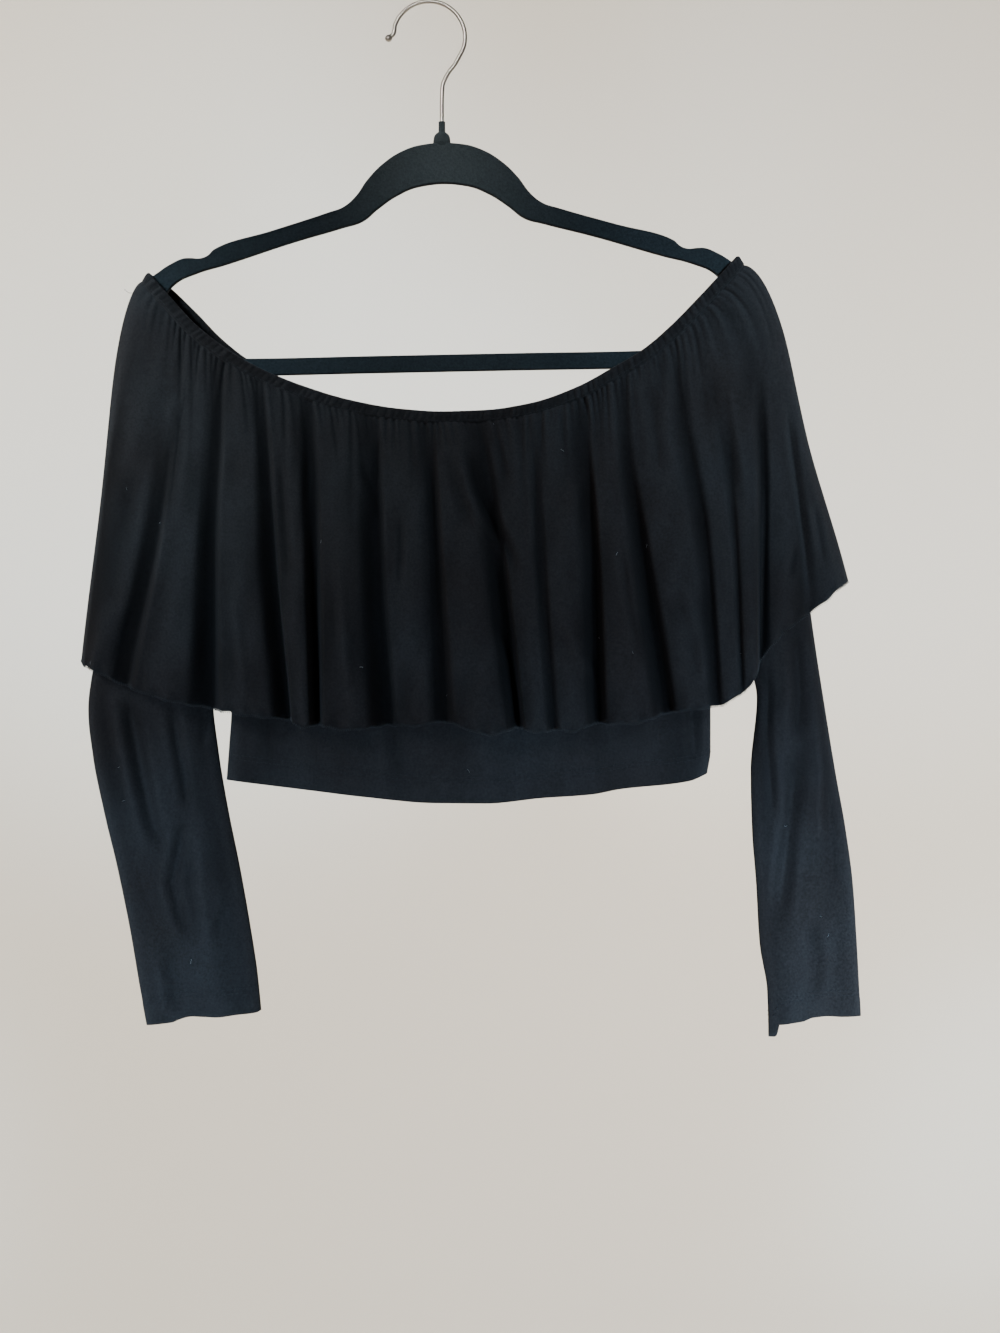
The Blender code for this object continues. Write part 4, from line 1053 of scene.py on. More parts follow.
def cloth_tone_effect() -> bpy.types.NodeTree:
    """The uneven tone of black dyed cloth: faint fading, a trace of dust, a fine fibre grain, and painted
    shade that darkens it in folds.
    """
    group = EffectGroup(
        "cloth_tone",
        {
            "Place": SocketKind.VECTOR,
            "Colour": SocketKind.COLOUR,
            "Faded": SocketKind.COLOUR,
            "Fading": SocketKind.NUMBER,
            "Roughness": SocketKind.NUMBER,
            "Painted fold shade": SocketKind.NUMBER,
        },
        {"Colour": SocketKind.COLOUR, "Roughness": SocketKind.NUMBER, "Grain": SocketKind.NUMBER},
    )
    g = group.graph
    given = group.source.outputs
    patches = g.noise(given["Place"], 9.0, 3.0)
    grain = g.noise(given["Place"], 620.0, 2.0, 0.6)
    worn = g.math("MULTIPLY", g.spread(patches, 0.35, 0.72, 0.0, 1.0), given["Fading"])
    tone = g.blend(worn, given["Colour"], given["Faded"])
    # Painted shade: the colour is darkened down to 0.22 where the cloth lies deep in a fold, a gather or a
    # crease
    unshaded_share = g.spread(given["Painted fold shade"], 0.0, 1.0, 1.0, 0.22)
    grain_and_fold_shade = g.math("MULTIPLY", g.spread(grain, 0.3, 0.75, 0.72, 1.3), unshaded_share)
    group.put("Colour", g.scale(tone, grain_and_fold_shade))
    group.put("Roughness", g.math("ADD", given["Roughness"], g.spread(patches, 0.3, 0.7, -0.04, 0.04)))
    group.put("Grain", grain)
    return group.tree


def new_material(name: str) -> tuple[bpy.types.Material, ShaderGraph, bpy.types.Node]:
    """Makes a material, and returns it with its graph and its main shader."""
    material = bpy.data.materials.new(name)
    material.use_nodes = True
    return material, ShaderGraph(material.node_tree), material.node_tree.nodes["Principled BSDF"]


class Effects:
    """The shared effects, each made once."""

    def __init__(self) -> None:
        """Builds the node groups."""
        self.knit = knit_effect()
        self.tone = cloth_tone_effect()


@dataclass(frozen=True)
class ClothFinish:
    """A knitted or fibrous black finish."""

    name: str
    colour: tuple[float, float, float, float] = (0.0092, 0.0076, 0.0076, 1.0)
    faded: tuple[float, float, float, float] = (0.0132, 0.0132, 0.0142, 1.0)
    fading: float = 0.6
    roughness: float = 0.95
    specular: float = 0.02
    sheen: float = 0.03
    sheen_roughness: float = 0.55
    sheen_tint: tuple[float, float, float, float] = (0.62, 0.58, 0.62, 1.0)
    wale: float = 0.72
    course: float = 0.86
    relief: float = 0.35
    relief_depth: float = 0.22
    knitted: bool = True

    def material(self, effects: Effects) -> bpy.types.Material:
        """Makes the material.

        Args:
            effects: the shared effects.

        Returns:
            The material, on the cloth's own map where it is knitted.
        """
        material, g, shader = new_material(self.name)
        where = g.add("ShaderNodeTexCoord").outputs["Object"]
        tone = g.add("ShaderNodeGroup", node_tree=effects.tone)
        g.fill(tone, {"Place": where, "Colour": self.colour, "Faded": self.faded})
        g.fill(tone, {"Fading": self.fading, "Roughness": self.roughness})
        colour = tone.outputs["Colour"]
        height = tone.outputs["Grain"]
        if self.knitted:
            # Painted shade: each point's depth in its fold darkens the knitted cloth's colour
            g.fill(tone, {"Painted fold shade": g.add("ShaderNodeAttribute", attribute_name="painted_fold_shade").outputs["Fac"]})
            cloth_map = g.add("ShaderNodeUVMap", uv_map="cloth")
            knit = g.add("ShaderNodeGroup", node_tree=effects.knit)
            g.fill(knit, {"Place": cloth_map.outputs[0], "Wale": self.wale, "Course": self.course})
            # Painted shade of the knit's loops darkens the colour between them
            colour = g.scale(colour, knit.outputs["Shade"])
            height = g.math("ADD", knit.outputs["Height"], g.math("MULTIPLY", height, 0.8))
        bump = g.add("ShaderNodeBump")
        g.fill(bump, {"Strength": self.relief, "Distance": self.relief_depth * MM, "Height": height})
        g.fill(shader, {
            "Base Color": colour,
            "Roughness": tone.outputs["Roughness"],
            "Normal": bump.outputs[0],
            "Specular IOR Level": self.specular,
            "Sheen Weight": self.sheen,
            "Sheen Roughness": self.sheen_roughness,
            "Sheen Tint": self.sheen_tint,
        })
        return material


@dataclass(frozen=True)
class SteelFinish:
    """Satin plated wire with faint rubbed marks, darker where it is seen aslant."""

    name: str = "plated_wire"
    colour: tuple[float, float, float, float] = (0.42, 0.395, 0.36, 1.0)
    dull: tuple[float, float, float, float] = (0.34, 0.32, 0.29, 1.0)
    edge: tuple[float, float, float, float] = (0.1, 0.09, 0.08, 1.0)
    smooth: float = 0.3
    rubbed: float = 0.35

    def material(self) -> bpy.types.Material:
        """Makes the material."""
        material, g, shader = new_material(self.name)
        rubs = g.noise(g.add("ShaderNodeTexCoord").outputs["Object"], 160.0, 4.0, 0.65)
        g.fill(shader, {
            "Base Color": g.blend(g.spread(rubs, 0.42, 0.75, 0.0, 0.5), self.colour, self.dull),
            "Roughness": g.spread(rubs, 0.35, 0.75, self.smooth, self.rubbed),
            "Metallic": 1.0,
            "Specular Tint": self.edge,
        })
        return material


@dataclass(frozen=True)
class PaintFinish:
    """A plain matt finish for the studio, with a faint unevenness."""

    name: str
    colour: tuple[float, float, float, float]
    roughness: float = 0.9

    def material(self) -> bpy.types.Material:
        """Makes the material."""
        material, g, shader = new_material(self.name)
        uneven = g.noise(g.add("ShaderNodeTexCoord").outputs["Object"], 1.4, 2.0)
        darker = tuple(0.97 * c for c in self.colour[:3]) + (1.0,)
        g.fill(shader, {"Base Color": g.blend(uneven, self.colour, darker), "Roughness": self.roughness})
        return material


@dataclass(frozen=True)
class Finishes:
    """Every material of the top, its hanger and its lint."""

    jersey: bpy.types.Material
    casing: bpy.types.Material
    thread: bpy.types.Material
    edging: bpy.types.Material
    flock: bpy.types.Material
    steel: bpy.types.Material
    lint: bpy.types.Material

    @classmethod
    def make(cls) -> "Finishes":
        """Builds all the materials."""
        effects = Effects()
        return cls(
            jersey=ClothFinish("black_jersey").material(effects),
            casing=ClothFinish("ruched_jersey", fading=0.4, relief=0.45).material(effects),
            thread=ClothFinish(
                "black_thread", colour=(0.0075, 0.007, 0.0075, 1.0), knitted=False
            ).material(effects),
            edging=ClothFinish(
                "overlock_thread",
                colour=(0.0098, 0.0094, 0.01, 1.0),
                faded=(0.02, 0.0195, 0.02, 1.0),
                fading=0.8,
                sheen=0.06,
                knitted=False,
            ).material(effects),
            flock=ClothFinish(
                "black_flock",
                colour=(0.0078, 0.0092, 0.0102, 1.0),
                faded=(0.011, 0.0132, 0.0152, 1.0),
                roughness=0.96,
                sheen=0.06,
                sheen_roughness=0.5,
                relief=0.8,
                relief_depth=0.35,
                knitted=False,
            ).material(effects),
            steel=SteelFinish().material(),
            lint=ClothFinish(
                "pale_lint",
                colour=(0.16, 0.16, 0.17, 1.0),
                faded=(0.34, 0.34, 0.35, 1.0),
                knitted=False,
            ).material(effects),
        )


class Sewing:
    """Makes rows of stitches and edges bound with looped thread."""

    THREAD = 0.17
    LOOP_STEP = 1.45
    LOOP_POINTS = 8
    STITCH_POINTS = 5
    STITCH_PROUD = 0.6
    STITCH_DIP = 5.0
    SIDES = 4
    LOOP_DEPTH = 1.15
    LOOP_UNEVENNESS = 0.2
    LOOP_OVER = 0.35
    LOOP_DRAWN_IN = 0.2
    SLANTS = (0.35, 0.8)

    def __init__(self, finishes: Finishes) -> None:
        """Takes the finishes for the threads."""
        self.finishes = finishes

    def stitches(self, name: str, lines: Sequence[Line]) -> bpy.types.Object:
        """Rows of short straight stitches that dip into the cloth at their ends.

        Args:
            name: the new piece's name.
            lines: the rows, on the cloth's middle surface.

        Returns:
            The stitches as one piece.
        """
        paths = []
        for line in lines:
            row = evenly(line, STITCH + STITCH_GAP)
            along = tangents(row)
            stitch = []
            for step in np.linspace(-0.5, 0.5, self.STITCH_POINTS):
                rise = JERSEY / 2.0 + self.THREAD * (self.STITCH_PROUD - self.STITCH_DIP * step * step)
                stitch.append(row.points + along * STITCH * step + row.normals * rise)
            paths.append(np.stack(stitch, axis=1))
        return self.threads(name, np.concatenate(paths), False, self.finishes.thread)

    def threads(
        self, name: str, paths: np.ndarray, looped: bool, material: bpy.types.Material
    ) -> bpy.types.Object:
        """Short threads along paths, as one piece."""
        points, faces = tube_mesh(paths, np.full(paths.shape[1], self.THREAD), self.SIDES, looped)
        obj = new_mesh(name, points, faces, material)
        return obj

    def bound_edge(self, name: str, edge: Line, seed: int) -> bpy.types.Object:
        """Thread looped over a raw edge all along it, as an overlocker leaves it.

        Args:
            name: the new piece's name.
            edge: the cloth's edge.
            seed: which set of small unevennesses.

        Returns:
            The loops as one piece.
        """
        row = evenly(edge, self.LOOP_STEP)
        draw = np.random.default_rng(seed)
        count = len(row.points)
        uneven = draw.uniform(1.0 - self.LOOP_UNEVENNESS, 1.0 + self.LOOP_UNEVENNESS, count)
        depth = self.LOOP_DEPTH * uneven[:, None]
        slant = draw.uniform(*self.SLANTS, count)[:, None]
        along = tangents(row)
        loops = []
        for turn in TURN * np.arange(self.LOOP_POINTS) / self.LOOP_POINTS:
            reach = self.LOOP_OVER - depth + depth * (1.0 + math.cos(turn)) - self.LOOP_DRAWN_IN
            loops.append(
                row.points
                + row.edgeward * reach
                + row.normals * math.sin(turn) * (JERSEY / 2.0 + self.THREAD)
                + along * slant * math.cos(turn)
            )
        return self.threads(name, np.stack(loops, axis=1), True, self.finishes.edging)


@dataclass
class NeckCasing:
    """The casing round the neck: a folded strip, ruched by its elastic."""

    ring: NeckRing
    gathers: Gathers
    finishes: Finishes
    sewing: Sewing
    stations: int = 1560
    ruche_rise: float = 1.45
    valley_shade: float = 0.65
    strip: tuple[float, float] = (1.12, 0.024)
    thickness: float = 0.6
    gather_lean: float = 0.35
    sunk: float = 0.25
    drawn_up: float = 0.2
    seam_down: float = CASING_HEIGHT - 1.8

    def section(self) -> np.ndarray:
        """The strip's section: out, down and how much of the ruching and its painted valley shade shows, from
        inside to outside.
        """
        half = CASING_HALF
        return np.array([
            (-half, CASING_HEIGHT, 0.05),
            (-half, 6.4, 0.3),
            (-half, 4.0, 0.4),
            (-half, 2.0, 0.4),
            (-0.75 * half, 0.75, 0.3),
            (0.0, 0.25, 0.3),
            (0.7 * half, 0.7, 0.6),
            (0.9 * half, 1.8, 0.9),
            (0.95 * half, 3.6, 1.0),
            (0.95 * half, 5.4, 1.0),
            (0.9 * half, 7.2, 0.8),
            (0.85 * half, CASING_HEIGHT, 0.25),
        ])

    def build(self) -> None:
        """Makes the casing with its row of stitches."""
        count = self.stations
        lengths = np.arange(count) * self.ring.lengths[-1] / count
        rows = []
        valley_shading = []
        for out, down, share in self.section():
            lean = self.gather_lean * (down - CASING_HEIGHT / 2.0)
            fullness = self.gathers.ruche(lengths + lean) * share * self.ruche_rise
            hollow = 1.0 - np.clip(fullness / (share * self.ruche_rise), 0.0, 1.0)
            # Painted shade: the casing's colour is darkened in the hollows between its gathers
            valley_shading.append(self.valley_shade * share * hollow)
            direction = 1.0 if out >= 0.0 else -1.0
            out += direction * (fullness - self.sunk * share)
            rows.append(self.ring.at(lengths, out, down - self.drawn_up * fullness))
        grid = np.stack(rows)
        across, down = cloth_places(np.concatenate([grid, grid[:, :1]], axis=1))
        index = numbered(grid)
        after = np.roll(index, -1, axis=1)
        faces = np.stack([index[:-1], index[1:], after[1:], after[:-1]], axis=-1).reshape(-1, 4)
        obj = new_mesh("ruched_casing", grid.reshape(-1, 3), faces.tolist(), self.finishes.casing)
        map_cloth(obj, across[:, :-1], down[:, :-1])
        mark_painted_fold_shade(obj, np.stack(valley_shading))
        thicken(obj, self.thickness)
        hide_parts("neck_casing")
        seam = grid[-2]
        normals = unit(seam - self.ring.at(lengths, 0.0, self.seam_down))
        stitches = self.sewing.stitches("casing_stitches", [Line(seam, normals, normals)])


@dataclass
class Panel:
    """What the panels of the top share: their names, their creases, their cut size and how they are sewn."""

    name: str
    node: str
    creases: Sequence[Crease]
    flat: tuple[float, float]
    area: float
    seed: int
    ring: NeckRing
    gathers: Gathers
    finishes: Finishes
    sewing: Sewing

    def hem_stitches(self, name: str, grid: np.ndarray, normals: np.ndarray) -> bpy.types.Object:
        """The twin rows of stitches that hold a turned hem."""
        rows = [line_above_edge(grid, normals, HEM_DEPTH - inset) for inset in (0.0, TWIN_NEEDLE)]
        return self.sewing.stitches(name, rows)


@dataclass
class Flounce(Panel):
    """One deep gathered flounce, in front or behind, with its bound hem."""

    side: Side
    folds: Sequence[Fold]
    columns: int = 430
    rows: int = 86
    lean: float = 1.0
    upper_base: float = 14.6
    upper_gain: float = 2.3
    lower_gain: float = 1.25
    hem_gain: float = 1.14
    nearest_out: float = 14.6
    even_share: float = 0.25
    fall_power: float = 1.25
    edge_width: float = 12.0
    puff: float = 1.6
    puff_from: float = 1.4
    puff_climb: float = 4.0
    puff_reach: float = 34.0
    gather_press: float = 2.8
    gather_width: float = 1.2
    gather_from: float = 1.0
    gather_climb: float = 1.6
    slack: float = 0.9
    slack_climb: float = 40.0
    curl: float = 0.75
    curl_reach: float = 5.0
    curl_step: float = 12.5
    curl_sway: tuple[float, float] = (2.2, 31.0)
    ripple: float = 0.45
    ripple_reach: float = 6.0
    ripple_step: float = 2.9
    ripple_sway: tuple[float, float] = (1.6, 23.0)
    face_from: float = 9.0

    def column_places(self, fold_place: np.ndarray) -> np.ndarray:
        """Where the columns lie between the folds: even along the cloth, closer at the tight ends."""
        count = np.arange(len(fold_place)) / (len(fold_place) - 1)
        mixed = self.even_share * count + (1.0 - self.even_share) * fold_place / fold_place[-1]
        return np.interp(np.linspace(0.0, 1.0, self.columns), mixed, fold_place)

    def surface(self) -> np.ndarray:
        """The flounce's middle surface, as rows of points from the casing to the hem."""
        folds = self.folds
        hem_x = np.array([f.hem_x for f in folds])
        neck_x = np.array([f.neck_x for f in folds])
        spread = np.hypot(np.diff(hem_x), np.diff([f.hem_z for f in folds])) + np.abs(np.diff(neck_x))
        fold_place = np.concatenate([[0.0], np.cumsum(spread)])
        columns = self.column_places(fold_place)
        neck_lengths = np.array([self.ring.place(x, self.side) for x in neck_x])
        if self.side is Side.BACK:
            neck_lengths[0] = self.ring.lengths[-1]
        self.lengths = smooth_curve(fold_place, neck_lengths)(columns)
        top = self.ring.at(self.lengths, LAYER_OFFSET, TOP_EDGE_DROP)

        def along(name: str) -> np.ndarray:
            """A column of the fold table, smoothed across the cloth."""
            return smooth_curve(fold_place, [getattr(f, name) for f in folds])(columns)

        def outward(name: str, gain: float) -> np.ndarray:
            """A column of the fold table, as leaning folds, their ridges a little livelier."""
            values = np.array([getattr(f, name) for f in folds])
            values += np.maximum(values - self.upper_base, 0.0) * (gain - 1.0)
            values = np.minimum(values, MOST_OUT)
            return leaning_folds(fold_place, values, self.lean)(columns)

        across = np.stack([top[:, 0], along("upper_x"), along("lower_x"), along("hem_x")])
        out = np.stack([
            self.side.value * top[:, 1],
            outward("upper_out", self.upper_gain),
            outward("lower_out", self.lower_gain),
            outward("hem_out", self.hem_gain),
        ])
        bottom_z = along("hem_z")
        levels = np.array(FLOUNCE_LEVELS) ** FLARE_POWER
        falls = np.linspace(0.0, 1.0, self.rows) ** self.fall_power
        grid = np.empty((self.rows, self.columns, 3))
        for c in range(self.columns):
            grid[:, c, 0] = smooth_curve(levels, across[:, c])(falls**FLARE_POWER)
            grid[:, c, 1] = smooth_curve(levels, out[:, c])(falls**FLARE_POWER)
            grid[:, c, 2] = top[c, 2] + (bottom_z[c] - top[c, 2]) * falls
        return grid

    def ruffle(self, grid: np.ndarray) -> None:
        """Adds the gathers under the casing, loose waves and the curling hem, before the creases."""
        below = np.linalg.norm(grid - grid[:1], axis=2)
        edge_fade = np.clip(grid[..., 1] / self.edge_width, 0.0, 1.0)
        swell = 1.0 - np.exp(-np.maximum(below - self.puff_from, 0.0) / self.puff_climb)
        puff = self.puff * swell * np.exp(-below / self.puff_reach)
        press = self.gather_press * self.gathers.fall(self.lengths, below, self.gather_width)
        press *= np.clip((below - self.gather_from) / self.gather_climb, 0.0, 1.0)
        grid[..., 1] += (puff - press) * edge_fade
        slack = Slack(self.seed, self.slack).at(grid[..., 0], grid[..., 2])
        grid[..., 1] += slack * edge_fade * (1.0 - np.exp(-below / self.slack_climb))
        hem = running_length(grid[-1])
        above_hem = np.linalg.norm(grid - grid[-1:], axis=2)
        wave = np.sin(TURN * hem / self.curl_step + sway(hem, *self.curl_sway))
        grid[..., 1] += self.curl * (np.exp(-((above_hem / self.curl_reach) ** 2)) * wave) * edge_fade
        uneven = np.sin(hem / self.ripple_step + sway(hem, *self.ripple_sway))
        grid[..., 2] += self.ripple * np.exp(-((above_hem / self.ripple_reach) ** 2)) * uneven

    def build(self) -> None:
        """Makes the flounce with its bound hem."""
        grid = self.surface()
        self.ruffle(grid)
        grid[:, [0, -1], 1] = np.maximum(grid[:, [0, -1], 1], SIDE_SEAM_OUT)
        grid[..., 1] *= self.side.value
        across_wings = (WING_NEAREST, self.nearest_out, self.nearest_out, WING_NEAREST)
        press_creases(grid, self.creases, np.interp(grid[..., 0], WING_FROM, across_wings))
        faces = grid_faces(numbered(grid), self.side is Side.BACK)
        obj = cloth_wall(self.name, grid, faces, self.finishes.jersey, self.face_from)
        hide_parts(self.node)
        self.grid = grid
        self.normals = grid_normals(grid) * self.side.value
        edge = Line(grid[-1], self.normals[-1], unit(grid[-1] - grid[-3]))
        hem = self.sewing.bound_edge(f"{self.name}_hem", edge, self.seed)


def armhole_depth(z: float, underarm_z: float) -> float:
    """How far the armhole's seam stands from the middle plane, closing at the underarm."""
    above = float(np.clip((z - underarm_z) / ARMHOLE_CLOSES_OVER, 0.0, 1.0))
    return ARMHOLE_DEPTH * math.sqrt(1.0 - (1.0 - above) ** 2)


def seam_room(depth: float) -> float:
    """Half the room at an armhole seam, which grows to a wall's where the walls turn side by side."""
    turned = 1.0 - float(np.clip(depth / ARMHOLE_TURNS_BELOW, 0.0, 1.0))
    return SEAM_GAP + (JERSEY / 2.0 + SEAM_GAP) * turned


def room_below_underarm(below: float) -> float:
    """Half the room between the bodice's side and the sleeve, fading out below the underarm."""
    return seam_room(0.0) * float(np.clip(1.0 - below / UNDERARM_FADE, 0.0, 1.0)) ** 2


def armhole_path(ring: NeckRing, neck_x: float, armhole: Sequence[EdgePoint], side: Side) -> Callable:
    """The armhole's seam from under the casing to the underarm, as a function from 0 to 1."""
    start = ring.at(ring.place(neck_x, side), -LAYER_OFFSET, TOP_EDGE_DROP)
    return path_curve((EdgePoint(start[0], start[2]), *armhole))


def turn_hem(grid: np.ndarray, normals: np.ndarray) -> None:
    """Shows a turned hem: the doubled cloth below its stitch line stands a little proud."""
    from_edge = running_length(grid[::-1].mean(axis=1))[::-1]
    doubled = np.clip((HEM_DEPTH + 1.0 - from_edge) / 2.0, 0.0, 1.0)
    sunk = np.exp(-(((from_edge - HEM_DEPTH + TWIN_NEEDLE / 2.0) / HEM_SINK_WIDTH) ** 2))
    grid += normals * (HEM_PROUD * doubled - HEM_LOSS * sunk)[:, None, None]


def closer_at_edges(columns: int) -> np.ndarray:
    """Places from 0 to 1 for a panel's columns, closer together at its two edges."""
    even = np.linspace(0.0, 1.0, columns)
    return 0.5 * even + 0.25 * (1.0 - np.cos(math.pi * even))


@dataclass
class Bodice(Panel):
    """The front or the back of the bodice, from the casing to its turned hem."""

    side: Side
    depth: float
    columns: int = 150
    rows: int = 64
    hem_rows: int = 36
    hem_share: float = 0.88
    gather_press: float = 0.6
    gather_width: float = 1.7
    slack: float = 0.45
    most_slack: float = 0.25
    slack_climb: float = 30.0
    face_from: float = 6.0

    def edge(
        self, neck_x: float, armhole_points: Sequence[EdgePoint], seam: Sequence[EdgePoint],
        falls: np.ndarray, inward: float,
    ) -> np.ndarray:
        """The panel's edge down the armhole and the side seam: x, depth and z at each fall."""
        armhole = armhole_path(self.ring, neck_x, armhole_points, self.side)
        underarm = armhole_points[-1]
        side_path = path_curve(seam)
        top_z = armhole(0.0)[1]
        share = (top_z - underarm.z) / (top_z - seam[-1].z)
        edge = np.empty((len(falls), 3))
        for row, fall in enumerate(falls):
            if fall < share:
                x, z = armhole(fall / share)
                depth = max(armhole_depth(float(z), underarm.z), SIDE_SEAM_OUT)
                room = seam_room(depth)
            else:
                x, z = side_path((fall - share) / (1.0 - share))
                depth = SIDE_SEAM_OUT
                room = room_below_underarm(underarm.z - float(z))
            edge[row] = (x + inward * room, depth, z)
        return edge

    def surface(self) -> np.ndarray:
        """The panel's middle surface, as rows of points from the casing to the hem."""
        sign = self.side.value
        across = closer_at_edges(self.columns)
        upper = np.linspace(0.0, self.hem_share, self.rows, endpoint=False)
        falls = np.concatenate([upper, np.linspace(self.hem_share, 1.0, self.hem_rows)])
        left = self.edge(LEFT_ARMHOLE_NECK_X, LEFT_ARMHOLE, LEFT_SIDE, falls, 1.0)
        right = self.edge(RIGHT_ARMHOLE_NECK_X, RIGHT_ARMHOLE, RIGHT_SIDE, falls, -1.0)
        start = self.ring.place(LEFT_ARMHOLE_NECK_X, self.side) - sign * SEAM_GAP
        end = self.ring.place(RIGHT_ARMHOLE_NECK_X, self.side) + sign * SEAM_GAP
        lengths = start + (end - start) * across
        top = self.ring.at(lengths, -LAYER_OFFSET, TOP_EDGE_DROP)
        hem_x, hem_z = path_curve(BODICE_HEM)(across)
        belly = (1.0 - np.abs(2.0 * across - 1.0) ** BODICE_SIDE_POWER) ** 0.5
        grid = np.empty((len(falls), len(across), 3))
        for row, fall in enumerate(falls):
            for axis, hem in ((0, hem_x), (2, hem_z)):
                left_bow, right_bow = (
                    edge[row, axis] - edge[0, axis] - (edge[-1, axis] - edge[0, axis]) * fall
                    for edge in (left, right)
                )
                bow = left_bow * (1.0 - across) + right_bow * across
                grid[row, :, axis] = top[:, axis] + (hem - top[:, axis]) * fall + bow
            edge_depth = left[row, 1] + (right[row, 1] - left[row, 1]) * across
            depth = edge_depth + (self.depth - edge_depth) * belly
            grid[row, :, 1] = depth + (sign * top[:, 1] - depth) * (1.0 - fall) ** TOP_BLEND_POWER
        below = np.linalg.norm(grid - grid[:1], axis=2)
        inner = np.clip(belly, 0.0, 1.0)[None, :]
        grid[..., 1] -= self.gather_press * self.gathers.fall(lengths, below, self.gather_width) * inner
        loose = Slack(self.seed, self.slack).at(grid[..., 0], grid[..., 2])
        grid[..., 1] += np.minimum(loose, self.most_slack) * inner * (1.0 - np.exp(-below / self.slack_climb))
        grid[..., 1] *= sign
        return grid

    def build(self) -> None:
        """Makes the panel with its turned hem and twin rows of stitches."""
        grid = self.surface()
        press_creases(grid, self.creases)
        normals = grid_normals(grid) * self.side.value
        turn_hem(grid[:, 1:-1], normals[:, 1:-1])
        faces = grid_faces(numbered(grid), self.side is Side.BACK)
        obj = cloth_wall(self.name, grid, faces, self.finishes.jersey, self.face_from)
        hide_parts(self.node)
        hem = self.hem_stitches(f"{self.name}_hem_stitches", grid, normals)
        self.grid = grid
        self.normals = normals


@dataclass
class Sleeve(Panel):
    """A plain long sleeve: a cap that is open towards the bodice, and a flattened tube below it."""

    outward: float
    neck_x: float
    armhole: Sequence[EdgePoint]
    outer_fold: Sequence[EdgePoint]
    sections: Sequence[SleeveSection]
    cuff: tuple[Sequence[float], Sequence[float]]
    cuff_droop: float = 0.0
    columns: int = 58
    cap_count: int = 48
    tube_count: int = 132
    fall_power: float = 1.6
    gather_press: float = 0.5
    gather_width: float = 1.7
    slack: float = 0.7
    least_slack: float = -0.3
    edge_width: float = 7.0
    face_from: float = 4.0

    def __post_init__(self) -> None:
        """Works out how the wall runs from the inner edge to the outer fold."""
        self.across = closer_at_edges(self.columns + 1)
        self.round_end = (1.0 - self.across**SLEEVE_FOLD_POWER) ** 0.5

    def tip_length(self, side: Side) -> float:
        """Where the sleeve's outer fold meets the casing, as a length along the ring."""
        if self.outward > 0.0:
            return self.ring.lengths[self.ring.tip_index]
        return 0.0 if side is Side.FRONT else self.ring.lengths[-1]

    def cap_rows(self, side: Side) -> list[np.ndarray]:
        """The points of one side of the cap, from the casing down to the underarm."""
        sign = side.value
        first = self.sections[0]
        seam = armhole_path(self.ring, self.neck_x, self.armhole, side)
        tip = self.tip_length(side)
        start = self.ring.place(self.neck_x, side)
        start += SEAM_GAP * np.sign(tip - start)
        lengths = start + (tip - start) * self.across
        top = self.ring.at(lengths, -LAYER_OFFSET, TOP_EDGE_DROP)
        fold = path_curve((EdgePoint(top[-1, 0], top[-1, 2]), *self.outer_fold))
        inner_x = first.inner_x + self.outward * seam_room(0.0)
        base = {
            0: inner_x + (first.outer_x - inner_x) * self.across,
            2: first.inner_z + (first.outer_z - first.inner_z) * self.across,
        }
        rows = []
        for fall in 1.0 - np.linspace(1.0, 0.0, self.cap_count + 1) ** self.fall_power:
            seam_x, seam_z = seam(fall)
            seam_depth = max(armhole_depth(float(seam_z), self.armhole[-1].z), SIDE_SEAM_OUT)
            edge = {0: seam_x + self.outward * seam_room(seam_depth), 2: seam_z}
            outer = dict(zip((0, 2), fold(fall)))
            row = np.empty((len(self.across), 3))
            for axis in (0, 2):
                low = base[axis]
                high = top[:, axis]
                inner_bow = edge[axis] - (high[0] + (low[0] - high[0]) * fall)
                outer_bow = outer[axis] - (high[-1] + (low[-1] - high[-1]) * fall)
                row[:, axis] = high + (low - high) * fall
                row[:, axis] += inner_bow * (1.0 - self.across) + outer_bow * self.across
            depth = ARMHOLE_DEPTH + (first.depth - ARMHOLE_DEPTH) * fall
            wall = depth * self.round_end + (seam_depth - depth) * (1.0 - self.across) ** CLOSING_POWER
            wall += (sign * top[:, 1] - wall) * (1.0 - fall) ** TOP_BLEND_POWER
            below = np.hypot(row[:, 0] - top[:, 0], row[:, 2] - top[:, 2])[None, :]
            gathered = self.gathers.fall(lengths, below, self.gather_width)[0]
            wall -= self.gather_press * gathered * self.round_end**2
            row[:, 1] = sign * wall
            row[-1, 1] = 0.0
            rows.append(row)
        return rows

    def tube_rows(self, side: Side) -> list[np.ndarray]:
        """The points of one side of the tube, below the underarm row down to the cuff."""
        place = np.linspace(0.0, 1.0, len(self.sections))
        curves = [smooth_curve(place, values) for values in zip(*self.sections)]
        underarm_z = self.sections[0].inner_z
        rows = []
        for t in np.linspace(0.0, 1.0, self.tube_count + 1)[1:]:
            inner_x, inner_z, outer_x, outer_z, depth = (float(curve(t)) for curve in curves)
            below = underarm_z - inner_z
            inner_x += self.outward * room_below_underarm(below)
            power = CLOSING_POWER + (FOLD_POWER - CLOSING_POWER) * min(below / UNDERARM_FADE, 1.0)
            wall = depth * (self.round_end - (1.0 - self.across) ** power)
            row = np.empty((len(self.across), 3))
            row[:, 0] = inner_x + (outer_x - inner_x) * self.across
            row[:, 1] = side.value * wall
            row[:, 2] = inner_z + (outer_z - inner_z) * self.across
            rows.append(row)
        width = math.hypot(rows[-1][-1, 0] - rows[-1][0, 0], rows[-1][-1, 2] - rows[-1][0, 2])
        tongue = np.clip(1.0 - (self.across * width / CUFF_TONGUE) ** TONGUE_POWER, 0.0, 1.0)
        wave = np.array([float(smooth_curve(*self.cuff)(place)) for place in self.across])
        for row, share in zip(rows[-CUFF_ROWS:], np.linspace(0.0, 1.0, CUFF_ROWS)):
            row[:, 2] += wave * share - self.cuff_droop * tongue * max(2.0 * share - 1.0, 0.0)
        return rows

